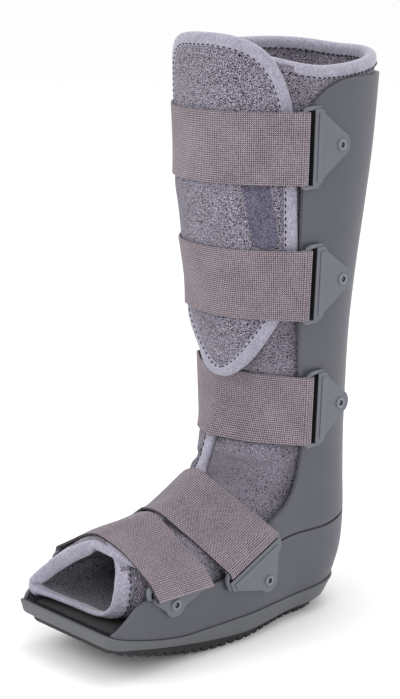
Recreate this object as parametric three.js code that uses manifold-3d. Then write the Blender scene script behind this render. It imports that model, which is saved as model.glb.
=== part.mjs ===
// A tall medical walking boot: a moulded shell on a rocker sole, a padded liner
// with an open toe, a shin flap, and five webbing straps held in riveted loops.
// Millimetres, +Z up, toes towards -Y, +X to the wearer's left on a left boot.
import * as THREE from "three";
import { mergeVertices } from "three/addons/utils/BufferGeometryUtils.js";
import Module from "manifold-3d";

const wasm = await Module();
wasm.setup();

// Driving sizes of the liner
const COLLAR_HEIGHT = 404; // lowest point of the liner's rim above the floor
const COLLAR_RISE_FRONT = 12;
const COLLAR_RISE_BACK = 7;
const COLLAR_RISE_FAR = 18; // how much higher the rim is on the far side
const CALF_WIDTH = 118; // across the liner at the collar
const CALF_DEPTH = 138; // front to back of the liner at the collar
const TOE_LEAN = 13; // how far the toe edge leans back over the toes
const FOOT_WIDTH = 90; // across the liner at the ball of the foot
const FOOT_RISE = 61; // liner's sole to its top over the ball of the foot
const LINER_WALL = 7;
const BINDING_WIDTH = 9.5;
const BINDING_EXTRA = 0.6; // how far the binding tape stands proud of the liner
const FRONT_POWER = 2.05; // squareness of a section's front half
const BACK_POWER = 2.6;
const SOLE_POWER = 3.4; // squareness of the liner where it rests on the insole

// Driving sizes of the overlap panel, the shin flap and its hook strip
const PANEL_WALL = 4;
const PANEL_EDGE = -9; // arc of the panel's free edge from the middle, at the shin
const PANEL_TURN = 14; // how far the edge swings over to the near side at the toe
const FLAP_WALL = 5;
const FLAP_TOP = 428;
const FLAP_BOTTOM = 184;
const FLAP_LIFT = 2.6; // how far the flap's tip rides up over the ankle strap
const FLAP_MARGIN = 0.6; // from the shell's front edge forward to the flap's bound edge
const HOOK_STRIP_WIDTH = 15;
const HOOK_STRIP_LENGTH = 78;
const HOOK_STRIP_WALL = 0.8;
const HOOK_ARC = 38; // arc of the strip's middle from the shin's

// Driving sizes of the shell and the sole
const SHELL_WALL = 3;
const SHELL_HEIGHT = 396.5;
const SHELL_EDGE = 21; // from the leg's axis forward to the upright's front edge
const SHELL_CORNER = 34; // rounding of the upright's top front corner
const SEAM_HEIGHT = 69; // where the upright meets the foot shell, at the side
const SEAM_RISE = 6; // how much higher the seam runs round the heel
const SEAM_GAP = 1.6;
const SKIRT_DEPTH = 14; // how far the upright reaches down inside the foot shell
const LAP_WALL = 1.5; // thickness of the foot shell where the upright stands inside it
const FOREFOOT_WIDTH = 104; // across the foot shell
const TOE_REACH = 189; // from the leg's axis to the sole's toe edge
const TOE_CORNER = 9;
const TOE_WALL_HEIGHT = 55.5; // top of the foot shell beside the toes
const WALL_DIP = 4; // how much lower the foot shell is beside the arch
const SOLE_LINE = 20.5; // where the foot shell meets the sole, above the floor
const SOLE_LIP = 1.6; // how far the sole stands out past the foot shell
const SOLE_RIM = 3;
const TOE_SPRING = 15.5; // how much higher the sole's rim is at the toe
const SOLE_CURVE = 62; // from the leg's axis to where the sole's underside curves up
const RIM_CURVE = 118;
const TREAD_CURVE = 82;
const INSOLE_CURVE = 105;
const TREAD_DEPTH = 7.5;
const TREAD_INSET = 6.5; // how far the tread's bottom edge lies inside the sole
const LUG_PITCH = 13;
const GROOVE_WIDTH = 4.5;
const GROOVE_DEPTH = 3.2;
const INSOLE_HEIGHT = 5.5; // insole above the sole line
const INSOLE_SPRING = 10; // how much higher the insole is at the toe

// Driving sizes of the straps, loops and rivets
const STRAP_WIDTH = 50;
const STRAP_WALL = 1.6;
const STRAP_TAIL = 13; // the ankle strap's end, past the bar it folds round
const LOOP_WALL = 2.6;
const LOOP_LENGTH = 29; // from the slot to the plate's far end
const LOOP_ROUND = 9; // rounding round the rivet
const LOOP_BAR = 9.5; // width of the thickened bar beside the slot
const LOOP_BAR_RISE = 2.6;
const LOOP_SLOT = 4.6;
const LOOP_ARM = 3.6; // width of the bar the strap folds round
const LOOP_CHEEK = 2.6; // width of the arms that hold it
const RIVET_HEAD = 4;
const RIVET_SHANK = 2.1;
const RIVET_HOLE = 2.45;
const RIVET_RISE = 1.3;
const RIVET_RECESS = 1.5;

// Clearances
const LINER_GAP = 0.5; // between the liner and the shell
const SEAT_GAP = 0.3; // between pieces that rest on each other
const TOE_BINDING_GAP = 2.4; // between the liner and its toe binding, which meet at a slant

const TOE_LEDGE = 13; // of the sole, ahead of the liner's toe edge
const FOOT_REACH = TOE_REACH - TOE_LEDGE; // from the leg's axis to the liner's toe edge

// The fold in front of the ankle follows the leg's depth
const CREASE_REACH = 0.45 * CALF_DEPTH; // from the leg's axis to the fold
const CREASE_HEIGHT = SOLE_LINE + INSOLE_HEIGHT + 0.74 * CALF_DEPTH;

// Fineness of the model
const AROUND = 24; // steps round the leg, shared by the liner and the shell
const LEG_STEPS = [0.92, 0.82, 0.7, 0.58, 0.47, 0.375]; // shares of the collar's height
const FAN_LENGTH = 100; // how much of the liner's path goes round the ankle's fold
const FAN_STEPS = [0, 0.2, 0.38, 0.55, 0.75, 1];
const FOOT_STEPS = [0.22, 0.44, 0.64, 0.81];
const STRAP_ROWS = 4;
const STRAP_STEPS = 16;
const TURN_WEIGHT = 18; // length that a full turn of a strap's line counts for

// Sections of the leg, as shares: height of the collar's, half width of the
// calf's width, front and back of the calf's depth.
const LEG_SECTIONS = [
  { height: 0, side: 0.3, front: 0.255, back: 0.25 },
  { height: 0.035, side: 0.34, front: 0.255, back: 0.29 },
  { height: 0.065, side: 0.362, front: 0.255, back: 0.34 },
  { height: 0.111, side: 0.382, front: 0.255, back: 0.396 },
  { height: 0.173, side: 0.39, front: 0.255, back: 0.415 },
  { height: 0.248, side: 0.392, front: 0.255, back: 0.407 },
  { height: 0.322, side: 0.393, front: 0.255, back: 0.403 },
  { height: 0.421, side: 0.41, front: 0.226, back: 0.401 },
  { height: 0.527, side: 0.429, front: 0.264, back: 0.408 },
  { height: 0.636, side: 0.454, front: 0.305, back: 0.442 },
  { height: 0.757, side: 0.471, front: 0.354, back: 0.509 },
  { height: 0.854, side: 0.483, front: 0.379, back: 0.558 },
  { height: 1, side: 0.5, front: 0.379, back: 0.6 },
];
// Sections that fan round the fold in front of the ankle: their tilt from level,
// the liner's near and far side from the fold as shares of the calf's depth, and
// half width as a share of the calf's width.
const ANKLE_SECTIONS = [
  { tilt: 0, near: 0.157, far: 0.852, side: 0.386, bow: 2.05 },
  { tilt: 18, near: 0.14, far: 0.86, side: 0.366, bow: 1.9 },
  { tilt: 34, near: 0.12, far: 0.945, side: 0.355, bow: 1.75 },
  { tilt: 47, near: 0.115, far: 0.985, side: 0.354, bow: 1.65 },
  { tilt: 62, near: 0.115, far: 0.828, side: 0.358, bow: 1.55 },
  { tilt: 78, near: 0.125, far: 0.747, side: 0.363, bow: 1.5 },
  { tilt: 90, near: 0.138, far: 0.731, side: 0.367, bow: 1.45 },
];
// Sections of the foot, as shares: reach of the foot's from the ankle fold to the
// toe, top and bottom of the foot's rise above the insole at the arch, width to the
// near side and the far side and sideways shift of the foot's width, and how full the
// top is on each side. The far side is drawn across over the toes.
const FOOT_SECTIONS = [
  { reach: 0.2, top: 1.13, bottom: 0.008, side: 0.489, far: 0.489, shift: 0.01, bow: 1.45, farBow: 1.45 },
  { reach: 0.38, top: 1.02, bottom: 0.012, side: 0.496, far: 0.496, shift: 0.01, bow: 1.45, farBow: 1.45 },
  { reach: 0.6, top: 0.96, bottom: 0.03, side: 0.5, far: 0.5, shift: 0, bow: 1.55, farBow: 1.45 },
  { reach: 0.78, top: 0.93, bottom: 0.08, side: 0.46, far: 0.54, shift: 0.02, bow: 1.75, farBow: 1.35 },
  { reach: 0.93, top: 0.89, bottom: 0.15, side: 0.32, far: 0.565, shift: 0.04, bow: 1.8, farBow: 1.2 },
  { reach: 1, top: 0.84, bottom: 0.19, side: 0.24, far: 0.585, shift: 0.045, bow: 1.6, farBow: 1.12 },
];

// Heights of the straps' middles on the leg, as shares of the collar's
const STRAP_SHARES = { calf: 0.868, shin: 0.63, ankle: 0.4 };

const rad = THREE.MathUtils.degToRad;
const lerp = THREE.MathUtils.lerp;
const smoothstep = THREE.MathUtils.smoothstep;

// Value of a column at x, through the rows, with smooth slopes at each row.
function column(rows, key, name, x) {
  const last = rows.length - 1;
  if (x <= rows[0][key]) return rows[0][name];
  if (x >= rows[last][key]) return rows[last][name];
  const i = rows.findIndex((row, k) => k < last && x <= rows[k + 1][key]);
  const slope = (k) => {
    const a = rows[Math.max(k - 1, 0)];
    const b = rows[Math.min(k + 1, last)];
    return (b[name] - a[name]) / (b[key] - a[key]);
  };
  const span = rows[i + 1][key] - rows[i][key];
  const t = (x - rows[i][key]) / span;
  const rise = rows[i + 1][name] - rows[i][name];
  const a = slope(i) * span - rise;
  const b = rise - slope(i + 1) * span;
  return rows[i][name] + t * rise + t * (1 - t) * (a * (1 - t) + b * t);
}

// The leg's section at a height: half width, front and back of the liner.
function legSection(height) {
  const share = height / COLLAR_HEIGHT;
  return {
    side: column(LEG_SECTIONS, "height", "side", share) * CALF_WIDTH,
    front: column(LEG_SECTIONS, "height", "front", share) * CALF_DEPTH,
    back: column(LEG_SECTIONS, "height", "back", share) * CALF_DEPTH,
  };
}

// The sole's rise towards the toe, and the insole's top, at a distance along y.
function rocker(y, from, reach) {
  const share = (-y - from) / (TOE_REACH - from);
  return reach * THREE.MathUtils.clamp(share, 0, 1) ** 1.6;
}
const insoleTop = (y) => SOLE_LINE + INSOLE_HEIGHT + rocker(y, INSOLE_CURVE, INSOLE_SPRING);

// Stations down the liner's path, from the collar to the toe. `at` falls from the
// collar's height, through the ankle fan, to the toe.
const fanStart = CREASE_HEIGHT;
const fanEnd = fanStart - FAN_LENGTH;
const toeStation = fanEnd - (FOOT_REACH - CREASE_REACH);
function linerStations() {
  const rows = [];
  for (const row of [...FOOT_SECTIONS].reverse()) {
    const { reach, top, bottom, side, far, shift, bow, farBow } = row;
    const forward = reach * (FOOT_REACH - CREASE_REACH);
    const base = SOLE_LINE + INSOLE_HEIGHT + 2 * SEAT_GAP;
    const low = base + bottom * FOOT_RISE;
    const high = base + top * FOOT_RISE;
    rows.push({
      at: fanEnd - forward,
      y: -CREASE_REACH - forward,
      z: (low + high) / 2,
      tilt: 90,
      side: side * FOOT_WIDTH,
      farSide: far * FOOT_WIDTH,
      front: (high - low) / 2,
      back: (high - low) / 2,
      shift: shift * FOOT_WIDTH,
      bow,
      farBow,
      power: SOLE_POWER,
    });
  }
  for (const { tilt, near, far, side, bow } of [...ANKLE_SECTIONS].reverse()) {
    rows.push({
      at: fanStart - (FAN_LENGTH * tilt) / 90,
      y: -CREASE_REACH * (1 - Math.cos(rad(tilt))),
      z: CREASE_HEIGHT - CREASE_REACH * Math.sin(rad(tilt)),
      tilt,
      side: side * CALF_WIDTH,
      farSide: side * CALF_WIDTH,
      front: CREASE_REACH - near * CALF_DEPTH,
      back: far * CALF_DEPTH - CREASE_REACH,
      shift: 0,
      bow,
      farBow: bow,
      power: lerp(BACK_POWER, SOLE_POWER, smoothstep(tilt, 40, 65)),
    });
  }
  for (const { height } of LEG_SECTIONS) {
    if (height * COLLAR_HEIGHT < fanStart + 20) continue;
    const { side, front, back } = legSection(height * COLLAR_HEIGHT);
    rows.push({
      at: height * COLLAR_HEIGHT,
      y: 0,
      z: height * COLLAR_HEIGHT,
      tilt: 0,
      side,
      farSide: side,
      front,
      back,
      shift: 0,
      bow: FRONT_POWER,
      farBow: FRONT_POWER,
      power: BACK_POWER,
    });
  }
  return rows;
}
const STATIONS = linerStations();

// A point on the liner's outside. The angle is 0 at the shin and the instep,
// positive towards +X, and 180 at the calf, the heel and the sole.
function linerSkin(at, angle) {
  const get = (name) => column(STATIONS, "at", name, at);
  const tilt = rad(get("tilt"));
  const near = Math.sin(angle) >= 0;
  const top = near ? "bow" : "farBow";
  const power = get(Math.cos(angle) >= 0 ? top : "power");
  const bend = (v) => Math.sign(v) * Math.abs(v) ** (2 / power);
  const reach = Math.cos(angle) >= 0 ? get("front") : get("back");
  const forward = reach * bend(Math.cos(angle));
  const above = Math.max(0, at - COLLAR_HEIGHT);
  return new THREE.Vector3(
    get("shift") + get(near ? "side" : "farSide") * bend(Math.sin(angle)),
    get("y") - forward * Math.cos(tilt),
    get("z") + forward * Math.sin(tilt) + above,
  );
}

// A point that lies a distance outside a surface, along its normal.
function raised(surface, u, v, distance, step = 0.01) {
  const point = surface(u, v);
  if (distance === 0) return point;
  const du = surface(u + 1, v).sub(surface(u - 1, v));
  const dv = surface(u, v + step).sub(surface(u, v - step));
  return point.addScaledVector(dv.cross(du).normalize(), distance);
}
const liner = (at, angle, distance) => raised(linerSkin, at, angle, distance);

// Closed bodies from grids of points
function bodyOf(points, triangles) {
  const geometry = new THREE.BufferGeometry();
  const flat = points.flatMap((p) => [p.x, p.y, p.z]);
  geometry.setAttribute("position", new THREE.Float32BufferAttribute(flat, 3));
  const volume = triangles.reduce((sum, [a, b, c]) => {
    return sum + points[a].dot(points[b].clone().cross(points[c]));
  }, 0);
  const out = volume < 0 ? triangles.map(([a, b, c]) => [a, c, b]) : triangles;
  geometry.setIndex(out.flat());
  return geometry;
}

// A body whose sections are closed loops of points. The loops join into a ring,
// or else the first and last are closed by strips across the loop.
function loftBody(loops, { ring = false } = {}) {
  const count = loops[0].length;
  const triangles = [];
  const id = (i, j) => (i % loops.length) * count + (j % count);
  for (let i = 0; i < loops.length - (ring ? 0 : 1); i++) {
    for (let j = 0; j < count; j++) {
      triangles.push([id(i, j), id(i + 1, j), id(i + 1, j + 1)]);
      triangles.push([id(i, j), id(i + 1, j + 1), id(i, j + 1)]);
    }
  }
  if (!ring) {
    const last = loops.length - 1;
    for (let j = 0; j < count / 2 - 1; j++) {
      const k = count - 1 - j;
      triangles.push([id(0, j), id(0, j + 1), id(0, k)]);
      triangles.push([id(0, j + 1), id(0, k - 1), id(0, k)]);
      triangles.push([id(last, j), id(last, k), id(last, j + 1)]);
      triangles.push([id(last, j + 1), id(last, k), id(last, k - 1)]);
    }
  }
  return bodyOf(loops.flat(), triangles);
}

// A body of level outlines stacked up, closed by a fan of triangles at each end.
function stackBody(outlines) {
  const count = outlines[0].length;
  const points = outlines.flat();
  const triangles = [];
  const id = (i, j) => i * count + (j % count);
  for (let i = 0; i < outlines.length - 1; i++) {
    for (let j = 0; j < count; j++) {
      triangles.push([id(i, j), id(i, j + 1), id(i + 1, j + 1)]);
      triangles.push([id(i, j), id(i + 1, j + 1), id(i + 1, j)]);
    }
  }
  for (const i of [0, outlines.length - 1]) {
    const middle = new THREE.Vector3();
    outlines[i].forEach((p) => middle.addScaledVector(p, 1 / count));
    points.push(middle);
    for (let j = 0; j < count; j++) {
      const side = [id(i, j), id(i, j + 1)];
      triangles.push(i === 0 ? [points.length - 1, side[1], side[0]] : [points.length - 1, ...side]);
    }
  }
  return bodyOf(points, triangles);
}

// Booleans
function solidOf(geometry) {
  const bare = geometry.clone();
  bare.deleteAttribute("normal");
  bare.deleteAttribute("uv");
  const merged = mergeVertices(bare, 1e-4);
  const made = new wasm.Manifold(
    new wasm.Mesh({
      numProp: 3,
      vertProperties: new Float32Array(merged.getAttribute("position").array),
      triVerts: new Uint32Array(merged.index.array),
    }),
  );
  return made;
}
function geometryOf(solid) {
  const { vertProperties, triVerts } = solid.getMesh();
  const geometry = new THREE.BufferGeometry();
  geometry.setAttribute("position", new THREE.Float32BufferAttribute(vertProperties, 3));
  geometry.setIndex(new THREE.BufferAttribute(new Uint32Array(triVerts), 1));
  return geometry;
}

// Moves a body. A mirroring move turns its faces outwards again.
function moved(geometry, matrix) {
  const made = mergeVertices(geometry.clone().applyMatrix4(matrix), 1e-4);
  if (matrix.determinant() > 0) return made;
  const index = made.index.array;
  for (let i = 0; i < index.length; i += 3) {
    const keep = index[i];
    index[i] = index[i + 1];
    index[i + 1] = keep;
  }
  return made;
}
const mirrored = (geometry) => moved(geometry, new THREE.Matrix4().makeScale(-1, 1, 1));

// A shape drawn in (y, z), seen from the side, as a prism across x.
const ACROSS = new THREE.Matrix4().makeBasis(
  new THREE.Vector3(0, 1, 0),
  new THREE.Vector3(0, 0, 1),
  new THREE.Vector3(1, 0, 0),
);
function sidePrism(outline, width = 400) {
  const shape = new THREE.Shape(outline);
  const prism = new THREE.ExtrudeGeometry(shape, { depth: width, bevelEnabled: false });
  prism.translate(0, 0, -width / 2);
  return solidOf(prism.applyMatrix4(ACROSS));
}
const point2 = (y, z) => new THREE.Vector2(y, z);
const smoothLine = (points, count) => new THREE.SplineCurve(points).getPoints(count);

// The shell's outside, as the half width at a place along y and z, and its plan.
function shellSection(z) {
  const { side, back } = legSection(z);
  return { side: side + LINER_GAP + SHELL_WALL, back: back + LINER_GAP + SHELL_WALL };
}
function shellSide(y, z, grow = 0) {
  const { side, back } = shellSection(z);
  if (y > 0) {
    const share = Math.min(y / (back + grow), 1);
    return (side + grow) * (1 - share ** BACK_POWER) ** (1 / BACK_POWER);
  }
  const flare = smoothstep(-y, 0, 70) * (1 - smoothstep(z, 75, 115));
  return lerp(side, FOREFOOT_WIDTH / 2, flare) + grow;
}
function shellPlan(heightAt, grow, front, corner) {
  const half = [];
  const place = (x, y) => half.push(new THREE.Vector3(x, y, heightAt(y)));
  for (let i = 0; i < AROUND / 4; i++) {
    const angle = (Math.PI / 2) * (1 - (4 * i) / AROUND);
    const bend = (v) => Math.abs(v) ** (2 / BACK_POWER);
    const guess = shellSection(heightAt(40)).back * bend(Math.sin(angle));
    const { side, back } = shellSection(heightAt(guess));
    place((side + grow) * bend(Math.cos(angle)), (back + grow) * bend(Math.sin(angle)));
  }
  const reach = front + grow;
  for (const share of [0, 0.12, 0.24, 0.315, 0.37, 0.65]) {
    const y = -share * (reach - corner);
    place(shellSide(y, heightAt(y), grow), y);
  }
  for (const turn of [0, 45, 90]) {
    const y = -(reach - corner) - corner * Math.sin(rad(turn));
    const wide = shellSide(-(reach - corner), heightAt(-(reach - corner)), grow);
    place(wide - corner * (1 - Math.cos(rad(turn))), y);
  }
  const mirror = half.slice(1).reverse().map((p) => new THREE.Vector3(-p.x, p.y, p.z));
  return [...half, ...mirror];
}

// The seam between the upright and the foot shell, and the foot shell's top edge.
const SEAM_LINE = [
  { y: -85, z: -16 },
  { y: -55, z: -7 },
  { y: -22, z: 0 },
  { y: 20, z: 0 },
  { y: 66, z: SEAM_RISE },
];
const seamAt = (y) => SEAM_HEIGHT + column(SEAM_LINE, "y", "z", y);
// Under the seam the upright's thinned skirt stands inside the foot shell's thinned
// top, back from the place where the upright's front edge comes down.
const LAP_REACH = 55;
const lapAt = (y) => seamAt(y) - SKIRT_DEPTH + 40 * smoothstep(-y, LAP_REACH + 4, LAP_REACH + 16);
const soleLineAt = (y) => SOLE_LINE + rocker(y, RIM_CURVE, TOE_SPRING) + 3 * smoothstep(y, -20, 60);
const soleBottomAt = (y) =>
  TREAD_DEPTH + rocker(y, SOLE_CURVE, TOE_SPRING + 3.5) + 3 * smoothstep(y, 0, 55);
const groundAt = (y) => rocker(y, TREAD_CURVE, TOE_SPRING + 8.5) + 5 * smoothstep(y, 5, 55);

function wallPoints(rows, plan) {
  return rows.map(({ height, grow, front, corner }) => plan(height, grow, front, corner));
}

// A wall between an outer and an inner stack of plans, open at both ends.
function tubeWall(rows) {
  const outer = wallPoints(rows, shellPlan);
  const inner = wallPoints(
    rows.map((row) => {
      return { ...row, grow: row.grow - row.wall, corner: Math.max(row.corner - row.wall, 1) };
    }),
    shellPlan,
  );
  const count = outer[0].length;
  const loops = [];
  for (let j = 0; j < count; j++) {
    loops.push([...outer.map((plan) => plan[j]), ...inner.map((plan) => plan[j]).reverse()]);
  }
  return loftBody(loops, { ring: true });
}

function footShell() {
  const row = (height, wall = SHELL_WALL) => {
    return { height, grow: 0, wall, front: TOE_REACH, corner: TOE_CORNER };
  };
  const low = SOLE_LINE - 8;
  const step = (y) => lapAt(y) - SEAT_GAP;
  const rows = [0, 0.5].map((share) => row((y) => lerp(low, step(y), share)));
  rows.push(row(step));
  rows.push(row((y) => step(y) + 0.2, LAP_WALL));
  rows.push(row((y) => step(y) + SKIRT_DEPTH + SEAM_GAP / 2, LAP_WALL));
  rows.push(row((y) => step(y) + SKIRT_DEPTH + 22, LAP_WALL));
  const wall = solidOf(tubeWall(rows));
  const toeFoot = soleLineAt(-TOE_REACH) + SEAT_GAP;
  const archY = -88;
  const bottom = [];
  const fromToe = (back) => back - TOE_REACH;
  for (const y of [90, 60, 30, 0, -60, ...[71, 54, 39, 24, 11, 3].map(fromToe)]) {
    bottom.push(point2(y, soleLineAt(y) + SEAT_GAP));
  }
  const nose = smoothLine(
    [
      point2(fromToe(3), toeFoot),
      point2(fromToe(14), TOE_WALL_HEIGHT - 11.5),
      point2(fromToe(26), TOE_WALL_HEIGHT - 3),
      point2(fromToe(43), TOE_WALL_HEIGHT),
      point2(fromToe(71), TOE_WALL_HEIGHT - WALL_DIP * 0.6),
      point2(archY, seamAt(archY) - SEAM_GAP / 2),
    ],
    9,
  ).slice(1);
  const seam = [-70, -55, -38, -22, 20, 45, 66, 90].map((y) => {
    return point2(y, seamAt(y) - SEAM_GAP / 2);
  });
  return wall.intersect(sidePrism([...bottom, ...nose, ...seam]));
}

function upright() {
  const row = (height, grow = 0, wall = SHELL_WALL) => {
    return { height, grow, wall, front: TOE_REACH, corner: TOE_CORNER };
  };
  const inset = -LAP_WALL - SEAT_GAP;
  const rows = [
    row((y) => seamAt(y) - SKIRT_DEPTH, inset, SHELL_WALL + inset),
    row((y) => seamAt(y) + SEAM_GAP / 2 - 0.2, inset, SHELL_WALL + inset),
    row((y) => seamAt(y) + SEAM_GAP / 2),
  ];
  for (const share of [fanStart / COLLAR_HEIGHT, ...[...LEG_STEPS].reverse(), 1]) {
    rows.push(row(() => share * COLLAR_HEIGHT));
  }
  const wall = solidOf(tubeWall(rows));
  const edge = (share, back) => point2(-SHELL_EDGE + back, share * SHELL_HEIGHT);
  const top = new THREE.EllipseCurve(
    -SHELL_EDGE + SHELL_CORNER * 1.45,
    SHELL_HEIGHT - SHELL_CORNER,
    SHELL_CORNER * 1.45,
    SHELL_CORNER,
    Math.PI / 2,
    Math.PI,
  ).getPoints(6);
  const front = smoothLine(
    [
      edge(0.7, 0.3),
      edge(0.53, 4.5),
      edge(0.42, 9),
      edge(0.355, 12),
      edge(0.3, 10),
      edge(0.252, 3.5),
      edge(0.227, -7),
      edge(0.211, -19),
      edge(0.187, -33),
    ],
    11,
  );
  const outline = [
    point2(150, SHELL_HEIGHT),
    ...top,
    ...front,
    point2(-LAP_REACH, seamAt(-LAP_REACH) - SKIRT_DEPTH - 5),
    point2(150, 10),
  ];
  return wall.intersect(sidePrism(outline));
}

// Level outlines of the sole, cut to the side view of the sole.
function soleBlock(grow, from, to, taper = 0) {
  const outlines = [0, 0.5, 1].map((share) => {
    const inset = taper * (1 - share);
    return shellPlan(() => lerp(from, to, share), grow - inset, TOE_REACH, TOE_CORNER);
  });
  return solidOf(stackBody(outlines));
}
const ALONG = [110, 60, 35, 10, -40, -62, -82, -100, -118, -134, -148, -160, -172, -182, -192, -230];
function slabBetween(lower, upper) {
  return sidePrism([
    ...ALONG.map((y) => point2(y, lower(y))),
    ...[...ALONG].reverse().map((y) => point2(y, upper(y))),
  ]);
}
function midsole() {
  const top = SOLE_LINE + TOE_SPRING + 12;
  const block = soleBlock(SOLE_LIP, 0, top).intersect(slabBetween(soleBottomAt, soleLineAt));
  const tray = soleBlock(-SOLE_RIM, 0, top).intersect(
    slabBetween((y) => soleLineAt(y) - 3, (y) => soleLineAt(y) + 20),
  );
  return block.subtract(tray);
}
function insole() {
  const floor = (y) => soleLineAt(y) - 3 + SEAT_GAP;
  const block = soleBlock(-SOLE_RIM - SEAT_GAP - SHELL_WALL - 0.2, 0, SOLE_LINE + TOE_SPRING + 20);
  return block.intersect(slabBetween(floor, insoleTop));
}
function outsole() {
  const under = (y) => soleBottomAt(y) - SEAT_GAP;
  const top = SOLE_LINE + TOE_SPRING;
  let tread = soleBlock(0, 0, top, TREAD_INSET * 2).intersect(slabBetween(groundAt, under));
  const grooves = Math.floor((TOE_REACH + 20) / LUG_PITCH);
  for (let i = 0; i < grooves; i++) {
    const y = -TOE_REACH + 12 + (i + 0.5) * LUG_PITCH;
    const box = new THREE.BoxGeometry(400, GROOVE_WIDTH, GROOVE_DEPTH * 2);
    box.translate(0, y, groundAt(y));
    tread = tread.subtract(solidOf(box));
  }
  return tread;
}

// The liner, from the collar to the toe, as a padded tube open at both ends.
const turnAt = (j) => (2 * Math.PI * j) / AROUND;
function rimAt(angle) {
  const turn = Math.cos(angle);
  const rise = turn > 0 ? COLLAR_RISE_FRONT : COLLAR_RISE_BACK;
  const far = Math.max(0, -Math.sin(angle)) ** 1.8;
  return COLLAR_HEIGHT + rise * Math.abs(turn) ** 1.6 + COLLAR_RISE_FAR * far;
}
const toeAt = (angle) => toeStation + (TOE_LEAN * (1 + Math.cos(angle))) / 2;
function linerPath(angle) {
  return [
    rimAt(angle) - BINDING_WIDTH - SEAT_GAP - 0.1,
    ...LEG_STEPS.map((share) => share * COLLAR_HEIGHT),
    ...FAN_STEPS.map((share) => fanStart - share * FAN_LENGTH),
    ...FOOT_STEPS.map((share) => lerp(fanEnd, toeAt(angle) + BINDING_WIDTH, share)),
    toeAt(angle) + BINDING_WIDTH + TOE_BINDING_GAP,
  ];
}
function linerBody() {
  const loops = [];
  for (let j = 0; j < AROUND; j++) {
    const path = linerPath(turnAt(j));
    const outer = path.map((at) => liner(at, turnAt(j), 0));
    const inner = path.map((at) => liner(at, turnAt(j), -LINER_WALL));
    loops.push([...outer, ...inner.reverse()]);
  }
  return loftBody(loops, { ring: true });
}
// A tape folded round the liner's edge, between two stations.
function edgeBinding(from, to) {
  const loops = [];
  for (let j = 0; j < AROUND; j++) {
    const angle = turnAt(j);
    const rows = [from(angle), (from(angle) + to(angle)) / 2, to(angle)];
    const outer = rows.map((at, k) => liner(at, angle, k === 0 ? -0.6 : BINDING_EXTRA - 0.3));
    const inner = rows.map((at, k) => {
      return liner(at, angle, -LINER_WALL + (k === 0 ? 1 : -BINDING_EXTRA));
    });
    loops.push([...outer, ...inner.reverse()]);
  }
  return loftBody(loops, { ring: true });
}

// The angle at which the liner's skin is an arc length away from the shin's middle.
function angleAt(at, arc) {
  let far = 0;
  let last = linerSkin(at, 0);
  const steps = 48;
  for (let k = 1; k <= steps; k++) {
    const angle = (Math.PI * k) / steps;
    const here = linerSkin(at, angle);
    const length = here.distanceTo(last);
    if (far + length >= Math.abs(arc)) {
      return Math.sign(arc) * (Math.PI / steps) * (k - 1 + (Math.abs(arc) - far) / length);
    }
    far += length;
    last = here;
  }
  return Math.sign(arc) * Math.PI;
}
const overLiner = (at, arc, distance) => liner(at, angleAt(at, arc), distance);

// The arc from the shin's middle back to where the skin is `ahead` of the leg's axis.
function arcTo(at, ahead) {
  let arc = 0;
  let last = linerSkin(at, 0);
  const steps = 96;
  for (let k = 1; k <= steps; k++) {
    const here = linerSkin(at, (Math.PI * k) / steps);
    const length = here.distanceTo(last);
    if (-here.y < ahead) return arc + (length * (-last.y - ahead)) / (here.y - last.y);
    arc += length;
    last = here;
  }
  return arc;
}

// A flat-lying piece of cloth: rows of places, each an array of {at, arc}, and the
// heights of its underside and its top over the liner.
function clothBody(rows, under, wall) {
  const loops = rows.map((row) => {
    const low = row.map((p) => overLiner(p.at, p.arc, under(p)));
    const high = row.map((p) => overLiner(p.at, p.arc, under(p) + wall));
    return [...high, ...low.reverse()];
  });
  return loftBody(loops);
}

// The overlap down the front: the far panel's edge lies over the near side.
function edgeArc(at) {
  return PANEL_EDGE + PANEL_TURN * smoothstep(fanStart - at, 0, fanStart - toeStation);
}
const PANEL_STATIONS = [0.985, ...LEG_STEPS];
function panelStations() {
  return [
    ...PANEL_STATIONS.map((share) => share * COLLAR_HEIGHT),
    ...FAN_STEPS.map((share) => fanStart - share * FAN_LENGTH),
    ...FOOT_STEPS.map((share) => lerp(fanEnd, toeAt(0), share)),
    toeAt(0) + SEAT_GAP,
  ];
}
function panelUnder({ at }) {
  const low = toeAt(0) + BINDING_WIDTH;
  return SEAT_GAP + 0.25 + BINDING_EXTRA * smoothstep(-at, -low - 14, -low - 1);
}
function overlapPanel() {
  const loops = panelStations().map((at) => {
    const edge = angleAt(at, edgeArc(at) - BINDING_WIDTH - SEAT_GAP);
    const turns = [edge];
    for (let k = 1; k <= 5; k++) turns.push(Math.min(edge - 0.02 * k, -turnAt(k)));
    const low = turns.map((turn) => liner(at, turn, panelUnder({ at })));
    const high = turns.map((turn, k) => {
      return liner(at, turn, panelUnder({ at }) + (k < 3 ? PANEL_WALL : 3.4 - 0.5 * k));
    });
    return [...high, ...low.reverse()];
  });
  return loftBody(loops);
}
function overlapBinding() {
  const rows = panelStations().map((at) => {
    return [0, 0.5, 1].map((share) => ({ at, arc: edgeArc(at) - (1 - share) * BINDING_WIDTH }));
  });
  return clothBody(rows, panelUnder, PANEL_WALL + 0.2);
}

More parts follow.
